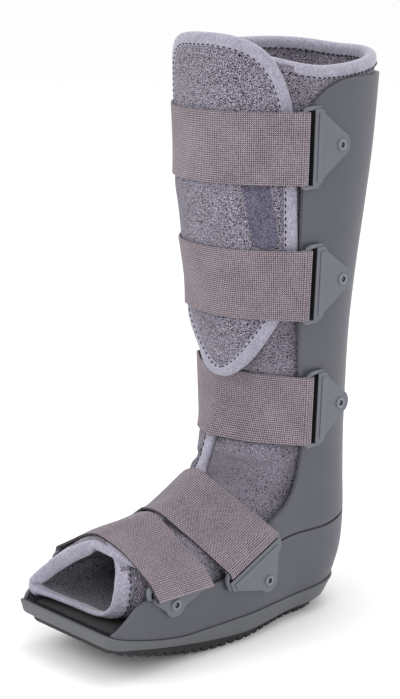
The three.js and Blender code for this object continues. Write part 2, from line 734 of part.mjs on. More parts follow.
// The shin flap: a padded shield over the front of the leg, with a bound edge.
// Its outline from top to tip: height and half width (arc), as shares.
const FLAP_EDGE = [
  { height: 1, half: 0.08 },
  { height: 0.994, half: 0.17 },
  { height: 0.972, half: 0.25 },
  { height: 0.935, half: 0.31 },
  { height: 0.89, half: 0.355 },
  { height: 0.83, half: 0.4 },
  { height: 0.76, half: 0.44 },
  { height: 0.66, half: 0.465 },
  { height: 0.56, half: 0.469 },
  { height: 0.44, half: 0.455 },
  { height: 0.34, half: 0.438 },
  { height: 0.25, half: 0.405 },
  { height: 0.17, half: 0.32 },
  { height: 0.1, half: 0.235 },
  { height: 0.045, half: 0.15 },
  { height: 0.012, half: 0.075 },
  { height: 0, half: 0.03 },
];
const FLAP_WIDEST = 8; // row of the table where the flap comes nearest to the shell's edge
const flapHeight = (share) => lerp(FLAP_BOTTOM, FLAP_TOP, share);
const flapReach = arcTo(flapHeight(FLAP_EDGE[FLAP_WIDEST].height), SHELL_EDGE + FLAP_MARGIN);
const flapEdge = FLAP_EDGE.map(({ height, half }) => {
  const share = half / FLAP_EDGE[FLAP_WIDEST].half;
  return new THREE.Vector2(share * flapReach, flapHeight(height));
});
function insetEdge(distance) {
  const last = flapEdge.length - 1;
  return flapEdge.map((p, i) => {
    const a = i === 0 ? new THREE.Vector2(-p.x, p.y) : flapEdge[i - 1];
    const b = i === last ? new THREE.Vector2(-p.x, p.y) : flapEdge[i + 1];
    const run = b.clone().sub(a).normalize();
    return new THREE.Vector2(Math.max(p.x + run.y * distance, 1.5), p.y - run.x * distance);
  });
}
const flapPlace = (p, side = 1) => ({ at: p.y, arc: side * p.x });
function flapUnder({ at, arc }) {
  const panel = SEAT_GAP * 2 + PANEL_WALL + 0.8;
  const drop = smoothstep(arc, 14, 50);
  const lift = FLAP_LIFT * (1 - smoothstep(at, FLAP_BOTTOM + 4, FLAP_BOTTOM + 18));
  return lerp(panel, SEAT_GAP + 0.4, drop) + lift;
}
function flapPanel() {
  const edge = insetEdge(BINDING_WIDTH + SEAT_GAP).slice(1, -1);
  const rows = edge.map((p) => {
    const shares = [-1, -0.75, -0.5, -0.25, 0, 0.25, 0.5, 0.75, 1];
    return shares.map((share) => flapPlace(new THREE.Vector2(p.x * share, p.y)));
  });
  return clothBody(rows, flapUnder, FLAP_WALL);
}
function flapBinding() {
  const outer = flapEdge;
  const inner = insetEdge(BINDING_WIDTH);
  const loops = [];
  const section = (i, side) => {
    const middle = outer[i].clone().add(inner[i]).multiplyScalar(0.5);
    const places = [outer[i], middle, inner[i]].map((p) => flapPlace(p, side));
    const low = places.map((p) => overLiner(p.at, p.arc, flapUnder(p)));
    const high = places.map((p, k) => {
      return overLiner(p.at, p.arc, flapUnder(p) + FLAP_WALL - (k === 0 ? 1.6 : 0));
    });
    return [...high, ...low.reverse()];
  };
  for (let i = 0; i < outer.length; i++) loops.push(section(i, 1));
  for (let i = outer.length - 1; i >= 0; i--) loops.push(section(i, -1));
  return loftBody(loops, { ring: true });
}
function hookStrip() {
  const top = lerp(FLAP_BOTTOM, FLAP_TOP, 0.72);
  const rows = [0, 0.2, 0.4, 0.6, 0.8, 0.95, 1].map((share) => {
    const round = share > 0.9 ? (share === 1 ? 0.55 : 0.9) : 1;
    return [-0.5, 0, 0.5].map((side) => ({
      at: top - share * HOOK_STRIP_LENGTH,
      arc: HOOK_ARC + side * round * HOOK_STRIP_WIDTH,
    }));
  });
  return clothBody(rows, (p) => flapUnder(p) + FLAP_WALL + SEAT_GAP, HOOK_STRIP_WALL);
}

// The straps' places: the slot's middle on the shell's side, the slot's direction
// and the strap's run, both in the side view, and the strap's two loops.
const heightOf = (name) => STRAP_SHARES[name] * COLLAR_HEIGHT;
const inSide = (y, z) => new THREE.Vector3(0, y, z).normalize();
const level = { along: inSide(0, 1), run: inSide(-1, 0) };
const STRAPS = [
  { name: "calf", y: -13, z: heightOf("calf"), plate: 1, tail: 1, ...level },
  { name: "shin", y: -6, z: heightOf("shin"), plate: 1, tail: 6, ...level },
  { name: "ankle", y: 2, z: heightOf("ankle"), plate: 0.92, tail: STRAP_TAIL, ...level },
  {
    name: "instep",
    y: -61,
    z: SEAM_HEIGHT - 8.5,
    plate: 0.92,
    tail: 1,
    askew: 6,
    along: inSide(0.903, 0.43),
    run: inSide(-0.5, 0.866),
  },
  {
    name: "toe",
    y: 60 - TOE_REACH,
    z: TOE_WALL_HEIGHT + 0.5,
    plate: 0.45,
    tail: 1,
    askew: -5,
    lean: 0.6,
    along: inSide(1, 0),
    run: inSide(-0.2, 0.98),
  },
];
const tailLayer = STRAP_WALL + 2 * SEAT_GAP + 0.15;
const barBack = LOOP_SLOT; // the front bar's slot side, from the slot's back edge
const barFront = LOOP_SLOT + LOOP_ARM;
const barTop = tailLayer + LOOP_WALL;
const arms = STRAP_WIDTH / 2 + 0.9;

// The loop's frame: x out of the shell, y along the slot, z back to the rivet.
function loopFrame({ y, z, along, reach }) {
  const back = new THREE.Vector3(0, along.z, -along.y);
  return new THREE.Matrix4()
    .makeBasis(new THREE.Vector3(1, 0, 0), along, back)
    .setPosition(reach, y, z);
}
// How far out of the shell the loop lies at its middle, and how it slopes along.
function seatLoop(strap) {
  const outAt = (aside) => {
    const places = [-8, 0, 12, 28].map((b) => {
      const y = strap.y + strap.along.z * b + strap.along.y * aside;
      const z = strap.z - strap.along.y * b + strap.along.z * aside;
      return shellSide(y, z);
    });
    return Math.max(...places);
  };
  const reach = arms + LOOP_CHEEK;
  const ends = [outAt(-reach), outAt(reach)];
  strap.slope = (ends[1] - ends[0]) / (2 * reach);
  strap.reach = Math.max(outAt(0), (ends[0] + ends[1]) / 2);
}
// A flat outline in (along, back), raised from one height to another.
function plateOf(outline, from, to, holes = []) {
  const shape = new THREE.Shape(outline);
  holes.forEach((hole) => shape.holes.push(new THREE.Path(hole)));
  const made = new THREE.ExtrudeGeometry(shape, { depth: to - from, bevelEnabled: false });
  made.translate(0, 0, from);
  const turn = new THREE.Matrix4().makeBasis(
    new THREE.Vector3(0, 1, 0),
    new THREE.Vector3(0, 0, 1),
    new THREE.Vector3(1, 0, 0),
  );
  return solidOf(made.applyMatrix4(turn));
}
const rivetPlace = (strap) => strap.plate * LOOP_LENGTH - 4;
const rivetAside = (strap) => strap.askew ?? 0;
// How far the ring leans in over the foot, at a distance in front of the slot.
const leanAt = (strap, ahead) => (strap.lean ?? 0) * Math.max(0, ahead + 2);
function leaned(geometry, strap) {
  const place = geometry.getAttribute("position");
  for (let i = 0; i < place.count; i++) {
    const lift = strap.slope * place.getY(i) - leanAt(strap, -place.getZ(i));
    place.setX(i, place.getX(i) + lift);
  }
  return geometry;
}
function loopSolid(strap, shellBlock) {
  const half = arms + LOOP_CHEEK;
  const wide = Math.min(LOOP_BAR, rivetPlace(strap) - RIVET_HEAD - 1);
  const far = rivetPlace(strap);
  const aside = rivetAside(strap);
  const tip = new THREE.EllipseCurve(aside, far, LOOP_ROUND, LOOP_ROUND, 0.35, Math.PI - 0.35);
  const hole = new THREE.EllipseCurve(aside, far, RIVET_HOLE, RIVET_HOLE, 0, 2 * Math.PI);
  const outline = [
    point2(-half + 2, 0),
    point2(half - 2, 0),
    point2(half - 2, wide),
    ...tip.getPoints(4),
    point2(-half + 2, wide),
  ];
  const holes = [hole.getPoints(8).slice(0, -1)];
  let made = plateOf(outline, -3.5, LOOP_WALL, holes);
  const bar = [
    point2(-half, 0),
    point2(half, 0),
    point2(half, wide - 2),
    point2(half - 2, wide),
    point2(-half + 2, wide),
    point2(-half, wide - 2),
  ];
  made = made.add(plateOf(bar, LOOP_WALL - 1, LOOP_WALL + LOOP_BAR_RISE));
  const ring = [
    point2(-half, wide - 4),
    point2(-half, -barFront + 1.5),
    point2(-half + 1.5, -barFront),
    point2(half - 1.5, -barFront),
    point2(half, -barFront + 1.5),
    point2(half, wide - 4),
    point2(arms, wide - 4),
    point2(arms, -barBack),
    point2(-arms, -barBack),
    point2(-arms, wide - 4),
  ];
  made = made.add(plateOf(ring, tailLayer, barTop));
  const placed = moved(leaned(geometryOf(made), strap), loopFrame(strap));
  return solidOf(placed).subtract(shellBlock);
}
function rivetBody(strap) {
  const profile = [
    [0, -SHELL_WALL],
    [RIVET_SHANK, -SHELL_WALL],
    [RIVET_SHANK, LOOP_WALL + SEAT_GAP],
    [RIVET_HEAD, LOOP_WALL + SEAT_GAP],
    [RIVET_HEAD - 0.6, LOOP_WALL + SEAT_GAP + RIVET_RISE],
    [RIVET_RECESS, LOOP_WALL + SEAT_GAP + RIVET_RISE],
    [RIVET_RECESS, LOOP_WALL + SEAT_GAP + 0.2],
    [0, LOOP_WALL + SEAT_GAP + 0.2],
  ].map(([r, h]) => new THREE.Vector2(r, h));
  const made = new THREE.LatheGeometry(profile, 8);
  made.deleteAttribute("normal");
  made.deleteAttribute("uv");
  made.rotateZ(-Math.PI / 2);
  made.translate(0, rivetAside(strap), rivetPlace(strap));
  return solidOf(moved(made, loopFrame(strap)));
}
function rivetHole(strap, side) {
  const made = new THREE.CylinderGeometry(RIVET_HOLE, RIVET_HOLE, 14, 8);
  made.rotateZ(Math.PI / 2);
  made.translate(0, rivetAside(strap), rivetPlace(strap));
  made.deleteAttribute("normal");
  made.deleteAttribute("uv");
  const placed = moved(made, loopFrame(strap));
  return solidOf(side > 0 ? placed : mirrored(placed));
}

// Where bodies cross a plane through `origin` across x and `run`: points in it.
function crossings(bodies, origin, run) {
  const normal = new THREE.Vector3(0, run.z, -run.y);
  const points = [];
  for (const geometry of bodies) {
    const place = geometry.getAttribute("position");
    const index = geometry.index.array;
    const corner = (k) => new THREE.Vector3().fromBufferAttribute(place, index[k]).sub(origin);
    for (let i = 0; i < index.length; i += 3) {
      for (const [a, b] of [[0, 1], [1, 2], [2, 0]]) {
        const p = corner(i + a);
        const q = corner(i + b);
        const above = p.dot(normal);
        const below = q.dot(normal);
        if (above > 0 === below > 0) continue;
        const m = p.clone().lerp(q, above / (above - below));
        points.push(new THREE.Vector2(m.x, m.dot(run)));
      }
    }
  }
  return points;
}
// The upper half of the hull of points in the plane, from +x to -x.
function tautLine(points) {
  const sorted = [...points].sort((a, b) => b.x - a.x || (a.y - b.y) * Math.sign(a.x));
  const line = [];
  for (const p of sorted) {
    while (line.length > 1) {
      const a = line[line.length - 2];
      const b = line[line.length - 1];
      const turn = (b.x - a.x) * (p.y - a.y) - (b.y - a.y) * (p.x - a.x);
      if (turn > 0) break;
      line.pop();
    }
    line.push(p);
  }
  return line;
}
// Points along a line at even steps, closer together where it turns.
function resampled(line, count) {
  const far = [0];
  for (let i = 1; i < line.length; i++) {
    const run = line[i].clone().sub(line[i - 1]);
    const next = line[Math.min(i + 1, line.length - 1)].clone().sub(line[i]);
    const turn = next.lengthSq() > 0 ? run.angleTo(next) : 0;
    far.push(far[i - 1] + run.length() + TURN_WEIGHT * turn);
  }
  const points = [];
  for (let k = 0; k <= count; k++) {
    const length = (far[far.length - 1] * k) / count;
    const i = Math.max(1, far.findIndex((value) => value >= length - 1e-9));
    const share = (length - far[i - 1]) / Math.max(line[i].distanceTo(line[i - 1]), 1e-9);
    points.push(line[i - 1].clone().lerp(line[i], Math.min(share, 1)));
  }
  return points;
}
// Keeps the points of a line apart, so that none of its steps is too short.
function distinct(line, least = 0.4) {
  return line.map((p, i) => {
    if (i === 0 || p.distanceTo(line[i - 1]) >= least) return p;
    const next = line[Math.min(i + 1, line.length - 1)];
    return p.clone().lerp(next, 0.3);
  });
}
// Moves each point of a line to its left (out of a line that runs from +x to -x).
function offsetLine(line, distance) {
  return line.map((p, i) => {
    const a = line[Math.max(i - 1, 0)];
    const b = line[Math.min(i + 1, line.length - 1)];
    const run = b.clone().sub(a).normalize();
    return new THREE.Vector2(p.x + run.y * distance, p.y - run.x * distance);
  });
}
function strapBody(strap, bodies) {
  const slant = Math.abs(strap.run.dot(new THREE.Vector3(0, -strap.along.z, strap.along.y)));
  const drift = (strap.run.dot(strap.along) * (barBack + LOOP_ARM / 2)) / slant;
  const wall = STRAP_WALL / 2;
  const loops = [];
  for (let r = 0; r < STRAP_ROWS; r++) {
    const aside = (r / (STRAP_ROWS - 1) - 0.5) * STRAP_WIDTH;
    const origin = new THREE.Vector3(0, strap.y, strap.z);
    origin.addScaledVector(strap.along, aside - drift);
    const out = strap.reach + strap.slope * aside;
    const bar = (h, b) => new THREE.Vector2(out + h - leanAt(strap, b), b / slant);
    const rise = SEAT_GAP + 0.4 + wall;
    const over = [];
    for (const share of [-0.5, 0, 0.5]) {
      const reach = (share * STRAP_WIDTH) / (STRAP_ROWS - 1);
      if (Math.abs(aside + reach) > STRAP_WIDTH / 2) continue;
      const near = origin.clone().addScaledVector(strap.along, reach);
      over.push(...crossings(bodies, near, strap.run).filter((p) => p.y > barFront));
    }
    const top = bar(barTop, barFront);
    const line = tautLine([top, new THREE.Vector2(-top.x, top.y), ...over]);
    const taut = distinct(offsetLine(resampled(line, STRAP_STEPS), rise));
    const low = tailLayer - SEAT_GAP - wall;
    const mid = (tailLayer + barTop) / 2;
    const turn = [
      bar(low, barFront + strap.tail),
      bar(low, barFront),
      bar(low, barBack + 0.4),
      bar(low + 0.5, barBack - 1.1),
      bar(mid, barBack - rise),
      bar(barTop + rise - 0.5, barBack - 1.1),
      bar(barTop + rise, barBack + 0.6),
    ];
    const back = [...turn].reverse().map((p) => new THREE.Vector2(-p.x, p.y));
    const path = [...turn, ...taut, ...back];
    const place = (p) => origin.clone().addScaledVector(strap.run, p.y).setX(p.x);
    loops.push([
      ...offsetLine(path, -wall).map(place),
      ...offsetLine(path, wall).map(place).reverse(),
    ]);
  }
  return loftBody(loops);
}

const root = new THREE.Group();
const material = (color, roughness) =>
  new THREE.MeshStandardMaterial({ color, roughness, metalness: 0 });
const MATERIALS = {
  shell: material(0x62646b, 0.45),
  sole: material(0x54565c, 0.55),
  rubber: material(0x1c1c1e, 0.8),
  foam: material(0x24262c, 0.9),
  terry: material(0x6b6877, 0.95),
  binding: material(0x8b8896, 0.9),
  webbing: material(0x7d747c, 0.9),
  hook: material(0x55536a, 0.9),
  rivet: material(0x3a3b40, 0.4),
};
const made = {};
function add(name, body, finish) {
  const geometry = body.isBufferGeometry ? body : geometryOf(body);
  const mesh = new THREE.Mesh(geometry, finish);
  mesh.name = name;
  root.add(mesh);
  made[name] = geometry;
}

const SIDES = { left: 1, right: -1 };
STRAPS.forEach(seatLoop);
const drill = (solid, names) => {
  for (const strap of STRAPS.filter(({ name }) => names.includes(name))) {
    for (const side of Object.values(SIDES)) solid = solid.subtract(rivetHole(strap, side));
  }
  return solid;
};

add("outsole", outsole(), MATERIALS.rubber);
add("midsole", midsole(), MATERIALS.sole);
add("insole", insole(), MATERIALS.foam);
add("foot_shell", drill(footShell(), ["instep", "toe"]), MATERIALS.shell);
add("upright_shell", drill(upright(), ["calf", "shin", "ankle"]), MATERIALS.shell);
add("liner", linerBody(), MATERIALS.terry);
const collarLow = (angle) => rimAt(angle) - BINDING_WIDTH;
add("collar_binding", edgeBinding(rimAt, collarLow), MATERIALS.binding);
const toeLow = (angle) => toeAt(angle) + BINDING_WIDTH;
add("toe_binding", edgeBinding(toeAt, toeLow), MATERIALS.binding);
add("overlap_panel", overlapPanel(), MATERIALS.terry);
add("overlap_binding", overlapBinding(), MATERIALS.binding);
add("shin_flap", flapPanel(), MATERIALS.terry);
add("flap_binding", flapBinding(), MATERIALS.binding);
add("hook_strip", hookStrip(), MATERIALS.hook);

// Heights of the solid that the loops' backs are cut to, as shares of the collar's
const BLOCK_STEPS = [0, 0.05, 0.085, 0.11, 0.135, 0.16, 0.19, 0.235, 0.317, ...LEG_STEPS, 1].sort(
  (a, b) => a - b,
);
const shellBlock = solidOf(
  stackBody(
    BLOCK_STEPS.map((share) => {
      const height = () => share * COLLAR_HEIGHT;
      return shellPlan(height, SEAT_GAP + 0.1, TOE_REACH, TOE_CORNER);
    }),
  ),
);
for (const strap of STRAPS) {
  const loop = geometryOf(loopSolid(strap, shellBlock));
  const rivet = geometryOf(rivetBody(strap));
  for (const [side, sign] of Object.entries(SIDES)) {
    add(`loop_${strap.name}_${side}`, sign > 0 ? loop : mirrored(loop), MATERIALS.shell);
    add(`rivet_${strap.name}_${side}`, sign > 0 ? rivet : mirrored(rivet), MATERIALS.rivet);
  }
}
const LEG_UNDER = ["liner", "collar_binding", "overlap_panel", "overlap_binding", "upright_shell"];
const FLAP_UNDER = [...LEG_UNDER, "shin_flap", "flap_binding", "hook_strip"];
const FOOT_UNDER = ["liner", "toe_binding", "overlap_panel", "overlap_binding", "foot_shell"];
const UNDER = {
  calf: FLAP_UNDER,
  shin: FLAP_UNDER,
  ankle: LEG_UNDER,
  instep: [...FOOT_UNDER, "upright_shell"],
  toe: FOOT_UNDER,
};
for (const strap of [...STRAPS].reverse()) {
  const under = UNDER[strap.name].map((name) => made[name]);
  if (strap.name === "instep") under.push(made.strap_toe);
  add(`strap_${strap.name}`, strapBody(strap, under), MATERIALS.webbing);
}

// The origin is the middle of the footprint, on the floor.
const box = new THREE.Box3().setFromObject(root);
const middle = box.getCenter(new THREE.Vector3());
for (const geometry of new Set(root.children.map((mesh) => mesh.geometry))) {
  geometry.translate(-middle.x, -middle.y, -box.min.z);
}

export default root;
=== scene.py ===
"""A tall medical walking boot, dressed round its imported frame.

Lengths are millimetres in the leg's own frame: x and y from the leg's axis, toes towards -Y, the side that
the camera sees at +X, z up from the floor. A mesh is moved to the row's frame, in metres, when it is made.
"""
import math

import bmesh
import bpy
import numpy as np
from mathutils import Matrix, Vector


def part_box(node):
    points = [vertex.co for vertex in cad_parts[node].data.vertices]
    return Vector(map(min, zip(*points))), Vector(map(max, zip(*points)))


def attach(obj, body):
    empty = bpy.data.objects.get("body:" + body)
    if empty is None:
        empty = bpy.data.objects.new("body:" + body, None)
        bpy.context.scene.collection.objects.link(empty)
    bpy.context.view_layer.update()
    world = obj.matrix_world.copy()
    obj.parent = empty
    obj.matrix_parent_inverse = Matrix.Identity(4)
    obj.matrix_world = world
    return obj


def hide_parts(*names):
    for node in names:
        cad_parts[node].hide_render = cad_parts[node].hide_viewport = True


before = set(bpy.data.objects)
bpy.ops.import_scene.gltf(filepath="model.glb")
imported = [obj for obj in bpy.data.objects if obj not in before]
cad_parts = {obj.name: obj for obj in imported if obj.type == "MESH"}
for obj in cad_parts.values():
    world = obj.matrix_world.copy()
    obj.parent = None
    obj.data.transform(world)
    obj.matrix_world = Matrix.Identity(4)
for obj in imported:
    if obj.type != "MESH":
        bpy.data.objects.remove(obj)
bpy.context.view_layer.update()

MM = 0.001
PI = math.pi

# Sizes of the liner
COLLAR_HEIGHT = 404.0
COLLAR_RISE_FRONT = 12.0
COLLAR_RISE_BACK = 9.0
COLLAR_RISE_FAR = 13.0
CALF_WIDTH = 118.0
CALF_DEPTH = 138.0
FOOT_REACH = 176.0
FOOT_WIDTH = 90.0
FOOT_RISE = 61.0
LINER_WALL = 7.0
TAPE_WIDTH = 9.5
PANEL_WALL = 4.0
FLAP_WALL = 5.0
FLAP_TOP = 428.0
FLAP_BOTTOM = 184.0
FLAP_WIDTH = 134.0
FLAP_LIFT = 2.6
HOOK_WIDTH = 15.0
HOOK_LENGTH = 78.0
HOOK_ARC = 38.0

# Sizes of the shell and the sole
SHELL_WALL = 3.0
SHELL_HEIGHT = 396.5
SHELL_EDGE = 21.0
SHELL_CORNER = 34.0
SEAM_HEIGHT = 69.0
SEAM_RISE = 6.0
SEAM_GAP = 1.8
FOREFOOT_WIDTH = 104.0
TOE_REACH = 189.0
TOE_CORNER = 9.0
TOE_WALL_HEIGHT = 55.5
WALL_DIP = 4.0
SOLE_LINE = 20.5
SOLE_LIP = 1.6
SOLE_RIM = 3.0
TOE_SPRING = 15.5
TREAD_DEPTH = 7.5
TREAD_TAPER = 6.0
INSOLE_HEIGHT = 5.5
LINER_GAP = 0.5
SEAT_GAP = 0.3
CREASE_REACH = 0.45 * CALF_DEPTH
CREASE_HEIGHT = SOLE_LINE + INSOLE_HEIGHT + 0.74 * CALF_DEPTH

# Sizes of the straps and the loops that hold them
STRAP_WIDTH = 50.0
STRAP_WALL = 1.6
LOOP_WALL = 2.6
LOOP_ARM = 3.6
LOOP_CHEEK = 2.6

FRONT_POWER = 2.05
BACK_POWER = 2.6
SOLE_POWER = 3.4

# The leg's axis in the row's frame, from the sole's toe edge
LEG_AXIS = np.array([0.0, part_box("midsole")[0].y / MM + TOE_REACH + SOLE_LIP, 0.0])


def table(names, *rows):
    """Named columns of a table."""
    return dict(zip(names.split(), np.array(rows, float).T))


# Sections of the leg: height as a share of the collar's, half width as a share of the calf's width,
# front and back as shares of the calf's depth
LEG = table(
    "height side front back",
    (0, 0.3, 0.255, 0.25),
    (0.035, 0.34, 0.255, 0.29),
    (0.065, 0.362, 0.255, 0.34),
    (0.111, 0.382, 0.255, 0.396),
    (0.173, 0.39, 0.255, 0.415),
    (0.248, 0.392, 0.255, 0.407),
    (0.322, 0.393, 0.255, 0.403),
    (0.421, 0.41, 0.226, 0.401),
    (0.527, 0.429, 0.264, 0.408),
    (0.636, 0.454, 0.305, 0.442),
    (0.757, 0.471, 0.354, 0.509),
    (0.854, 0.483, 0.379, 0.558),
    (1, 0.5, 0.379, 0.6),
)
# Sections that fan round the fold in front of the ankle
ANKLE = table(
    "tilt near far side bow",
    (0, 0.157, 0.852, 0.386, 2.05),
    (18, 0.14, 0.86, 0.366, 1.9),
    (34, 0.12, 0.945, 0.355, 1.75),
    (47, 0.115, 0.985, 0.354, 1.65),
    (62, 0.115, 0.828, 0.358, 1.55),
    (78, 0.125, 0.747, 0.363, 1.5),
    (90, 0.138, 0.731, 0.367, 1.45),
)
# Sections of the foot: reach towards the toe, top and bottom of the foot's rise, width to the near side
# and the far side, sideways shift, how full the top is and where the widest place lies on each side.
# At the toe the far side is drawn across, so the section is nearly a triangle.
FOOT = table(
    "reach top bottom side far_side shift bow far_bow split far_split",
    (0.2, 1.13, 0.008, 0.489, 0.489, 0.01, 1.45, 1.4, 0.5, 0.5),
    (0.38, 1.02, 0.012, 0.496, 0.496, 0.01, 1.45, 1.3, 0.5, 0.5),
    (0.6, 0.96, 0.03, 0.5, 0.5, 0, 1.55, 1.25, 0.5, 0.5),
    (0.78, 0.93, 0.08, 0.46, 0.54, 0.02, 1.75, 1.35, 0.5, 0.42),
    (0.93, 0.86, 0.15, 0.29, 0.57, 0.03, 1.8, 1.2, 0.42, 0.28),
    (1, 0.74, 0.19, 0.16, 0.58, 0.0, 1.6, 1.1, 0.36, 0.2),
)


def lerp(a, b, t):
    """The value a share t of the way from a to b."""
    return a + (b - a) * t


def smoothstep(x, low, high):
    """0 up to low, 1 from high on, and a smooth S between them."""
    t = np.clip((np.asarray(x, float) - low) / (high - low), 0, 1)
    return t * t * (3 - 2 * t)


def column(rows, key, name, x):
    """A column's value at x: cubic pieces through its rows, with each row's slope from its neighbours."""
    xs, ys = rows[key], rows[name]
    x = np.clip(np.asarray(x, float), xs[0], xs[-1])
    i = np.clip(np.searchsorted(xs, x) - 1, 0, len(xs) - 2)
    before = np.maximum(np.arange(len(xs)) - 1, 0)
    after = np.minimum(np.arange(len(xs)) + 1, len(xs) - 1)
    slopes = (ys[after] - ys[before]) / (xs[after] - xs[before])
    span = xs[i + 1] - xs[i]
    t = (x - xs[i]) / span
    rise = ys[i + 1] - ys[i]
    a = slopes[i] * span - rise
    b = rise - slopes[i + 1] * span
    return ys[i] + t * rise + t * (1 - t) * (a * (1 - t) + b * t)


def rocker(y, start, reach):
    """How far the sole curves up ahead of `start`, to `reach` at the toe."""
    return reach * np.clip((-y - start) / (TOE_REACH - start), 0, 1) ** 1.6


def sole_line(y):
    """Height of the midsole's rim: curved up ahead, and a little at the heel."""
    return SOLE_LINE + rocker(y, 118, TOE_SPRING) + 3 * smoothstep(y, -20, 60)


def sole_bottom(y):
    """Height of the midsole's underside."""
    return TREAD_DEPTH + rocker(y, 62, TOE_SPRING + 3.5) + 3 * smoothstep(y, 0, 55)


def ground(y):
    """Height of the tread's underside: level under the arch, curved up at both ends."""
    return rocker(y, 82, TOE_SPRING + 7.0) + 5 * smoothstep(y, 5, 55)


def insole_top(y):
    """Height of the insole's upper face."""
    return SOLE_LINE + INSOLE_HEIGHT + rocker(y, 105, 10)


# The liner's skin: stations run down the leg, round the ankle's fold and out along the foot
FAN_START = CREASE_HEIGHT
FAN_LENGTH = 100.0
FAN_END = FAN_START - FAN_LENGTH
TOE_STATION = FAN_END - (FOOT_REACH - CREASE_REACH)


def liner_stations():
    """The sections in one table, from the toe to the collar, with lengths in place of shares."""
    foot = {name: values[::-1] for name, values in FOOT.items()}
    ankle = {name: values[::-1] for name, values in ANKLE.items()}
    keep = LEG["height"] * COLLAR_HEIGHT >= FAN_START + 20
    leg = {name: values[keep] for name, values in LEG.items()}
    forward = foot["reach"] * (FOOT_REACH - CREASE_REACH)
    base = SOLE_LINE + INSOLE_HEIGHT + 2 * SEAT_GAP
    low = base + foot["bottom"] * FOOT_RISE
    high = base + foot["top"] * FOOT_RISE
    near_z = lerp(low, high, foot["split"])
    far_z = lerp(low, high, foot["far_split"])
    tilt = np.radians(ankle["tilt"])
    up = leg["height"] * COLLAR_HEIGHT
    flat = np.zeros_like(up)
    ankle_z = CREASE_HEIGHT - CREASE_REACH * np.sin(tilt)
    ankle_front = CREASE_REACH - ankle["near"] * CALF_DEPTH
    ankle_back = ankle["far"] * CALF_DEPTH - CREASE_REACH
    ankle_side = ankle["side"] * CALF_WIDTH
    leg_side = leg["side"] * CALF_WIDTH
    leg_front = leg["front"] * CALF_DEPTH
    leg_back = leg["back"] * CALF_DEPTH
    leg_bow = flat + FRONT_POWER
    turn_back = lerp(BACK_POWER, SOLE_POWER, smoothstep(ankle["tilt"], 40, 65))
    parts = {
        "at": (FAN_END - forward, FAN_START - FAN_LENGTH * ankle["tilt"] / 90, up),
        "y": (-CREASE_REACH - forward, -CREASE_REACH * (1 - np.cos(tilt)), flat),
        "z": (near_z, ankle_z, up),
        "far_z": (far_z, ankle_z, up),
        "tilt": (90 + 0 * low, ankle["tilt"], flat),
        "side": (foot["side"] * FOOT_WIDTH, ankle_side, leg_side),
        "far_side": (foot["far_side"] * FOOT_WIDTH, ankle_side, leg_side),
        "front": (high - near_z, ankle_front, leg_front),
        "far_front": (high - far_z, ankle_front, leg_front),
        "back": (near_z - low, ankle_back, leg_back),
        "far_back": (far_z - low, ankle_back, leg_back),
        "shift": (foot["shift"] * FOOT_WIDTH, 0 * tilt, flat),
        "bow": (foot["bow"], ankle["bow"], leg_bow),
        "far_bow": (foot["far_bow"], ankle["bow"], leg_bow),
        "power": (0 * low + SOLE_POWER, turn_back, flat + BACK_POWER),
    }
    return {name: np.concatenate(values) for name, values in parts.items()}


STATIONS = liner_stations()


def liner_skin(at, angle):
    """The liner's outside: a superellipse across the station, with the angle 0 at the shin and the instep
    and positive towards +X, stood at the station's tilt."""
    at, angle = np.broadcast_arrays(np.asarray(at, float), np.asarray(angle, float))
    get = {name: column(STATIONS, "at", name, at) for name in STATIONS if name != "at"}
    front = np.cos(angle) >= 0
    near = np.sin(angle) >= 0
    pick = lambda name: np.where(near, get[name], get["far_" + name])
    power = np.where(front, pick("bow"), get["power"])
    bend = lambda v: np.sign(v) * np.abs(v) ** (2 / power)
    forward = np.where(front, pick("front"), pick("back")) * bend(np.cos(angle))
    tilt = np.radians(get["tilt"])
    x = get["shift"] + pick("side") * bend(np.sin(angle))
    y = get["y"] - forward * np.cos(tilt) - np.maximum(0, TOE_STATION - at)
    z = pick("z") + forward * np.sin(tilt) + np.maximum(0, at - COLLAR_HEIGHT)
    return np.stack([x, y, z], -1)


def unit(v):
    """The same direction with a length of 1."""
    return v / np.maximum(np.linalg.norm(v, axis=-1, keepdims=True), 1e-9)


def liner_normal(at, angle):
    """The skin's outward normal, from steps along the station and the angle."""
    du = liner_skin(at + 1.5, angle) - liner_skin(at - 1.5, angle)
    dv = liner_skin(at, angle + 0.03) - liner_skin(at, angle - 0.03)
    return unit(np.cross(dv, du))


def over_liner(at, angle, height):
    """A point that lies a height outside the liner's skin, along its normal."""
    at, angle, height = np.broadcast_arrays(np.asarray(at, float), angle, height)
    return liner_skin(at, angle) + liner_normal(at, angle) * height[..., None]


def angle_at(at, arc):
    """The angle at which the skin is an arc length away from the shin's middle."""
    at, arc = np.broadcast_arrays(np.asarray(at, float), np.asarray(arc, float))
    turns = np.linspace(0, PI * 0.98, 120)
    side = np.where(arc < 0, -1.0, 1.0)
    line = liner_skin(at[..., None], side[..., None] * turns)
    steps = np.linalg.norm(np.diff(line, axis=-2), axis=-1)
    far = np.concatenate([np.zeros(at.shape + (1,)), np.cumsum(steps, -1)], -1)
    last = np.clip((far < np.abs(arc)[..., None]).sum(-1), 1, len(turns) - 1)
    low = np.take_along_axis(far, last[..., None] - 1, -1)[..., 0]
    high = np.take_along_axis(far, last[..., None], -1)[..., 0]
    share = (np.abs(arc) - low) / np.maximum(high - low, 1e-9)
    return side * (turns[last - 1] + share * (turns[last] - turns[last - 1]))


def rim_at(angle):
    """The collar's edge: higher at the front and the back, and on the far side."""
    turn = np.cos(angle)
    rise = np.where(turn > 0, COLLAR_RISE_FRONT, COLLAR_RISE_BACK)
    far = np.maximum(0, -np.sin(angle)) ** 1.5
    return COLLAR_HEIGHT + 1.5 + rise * np.abs(turn) ** 1.6 + COLLAR_RISE_FAR * far


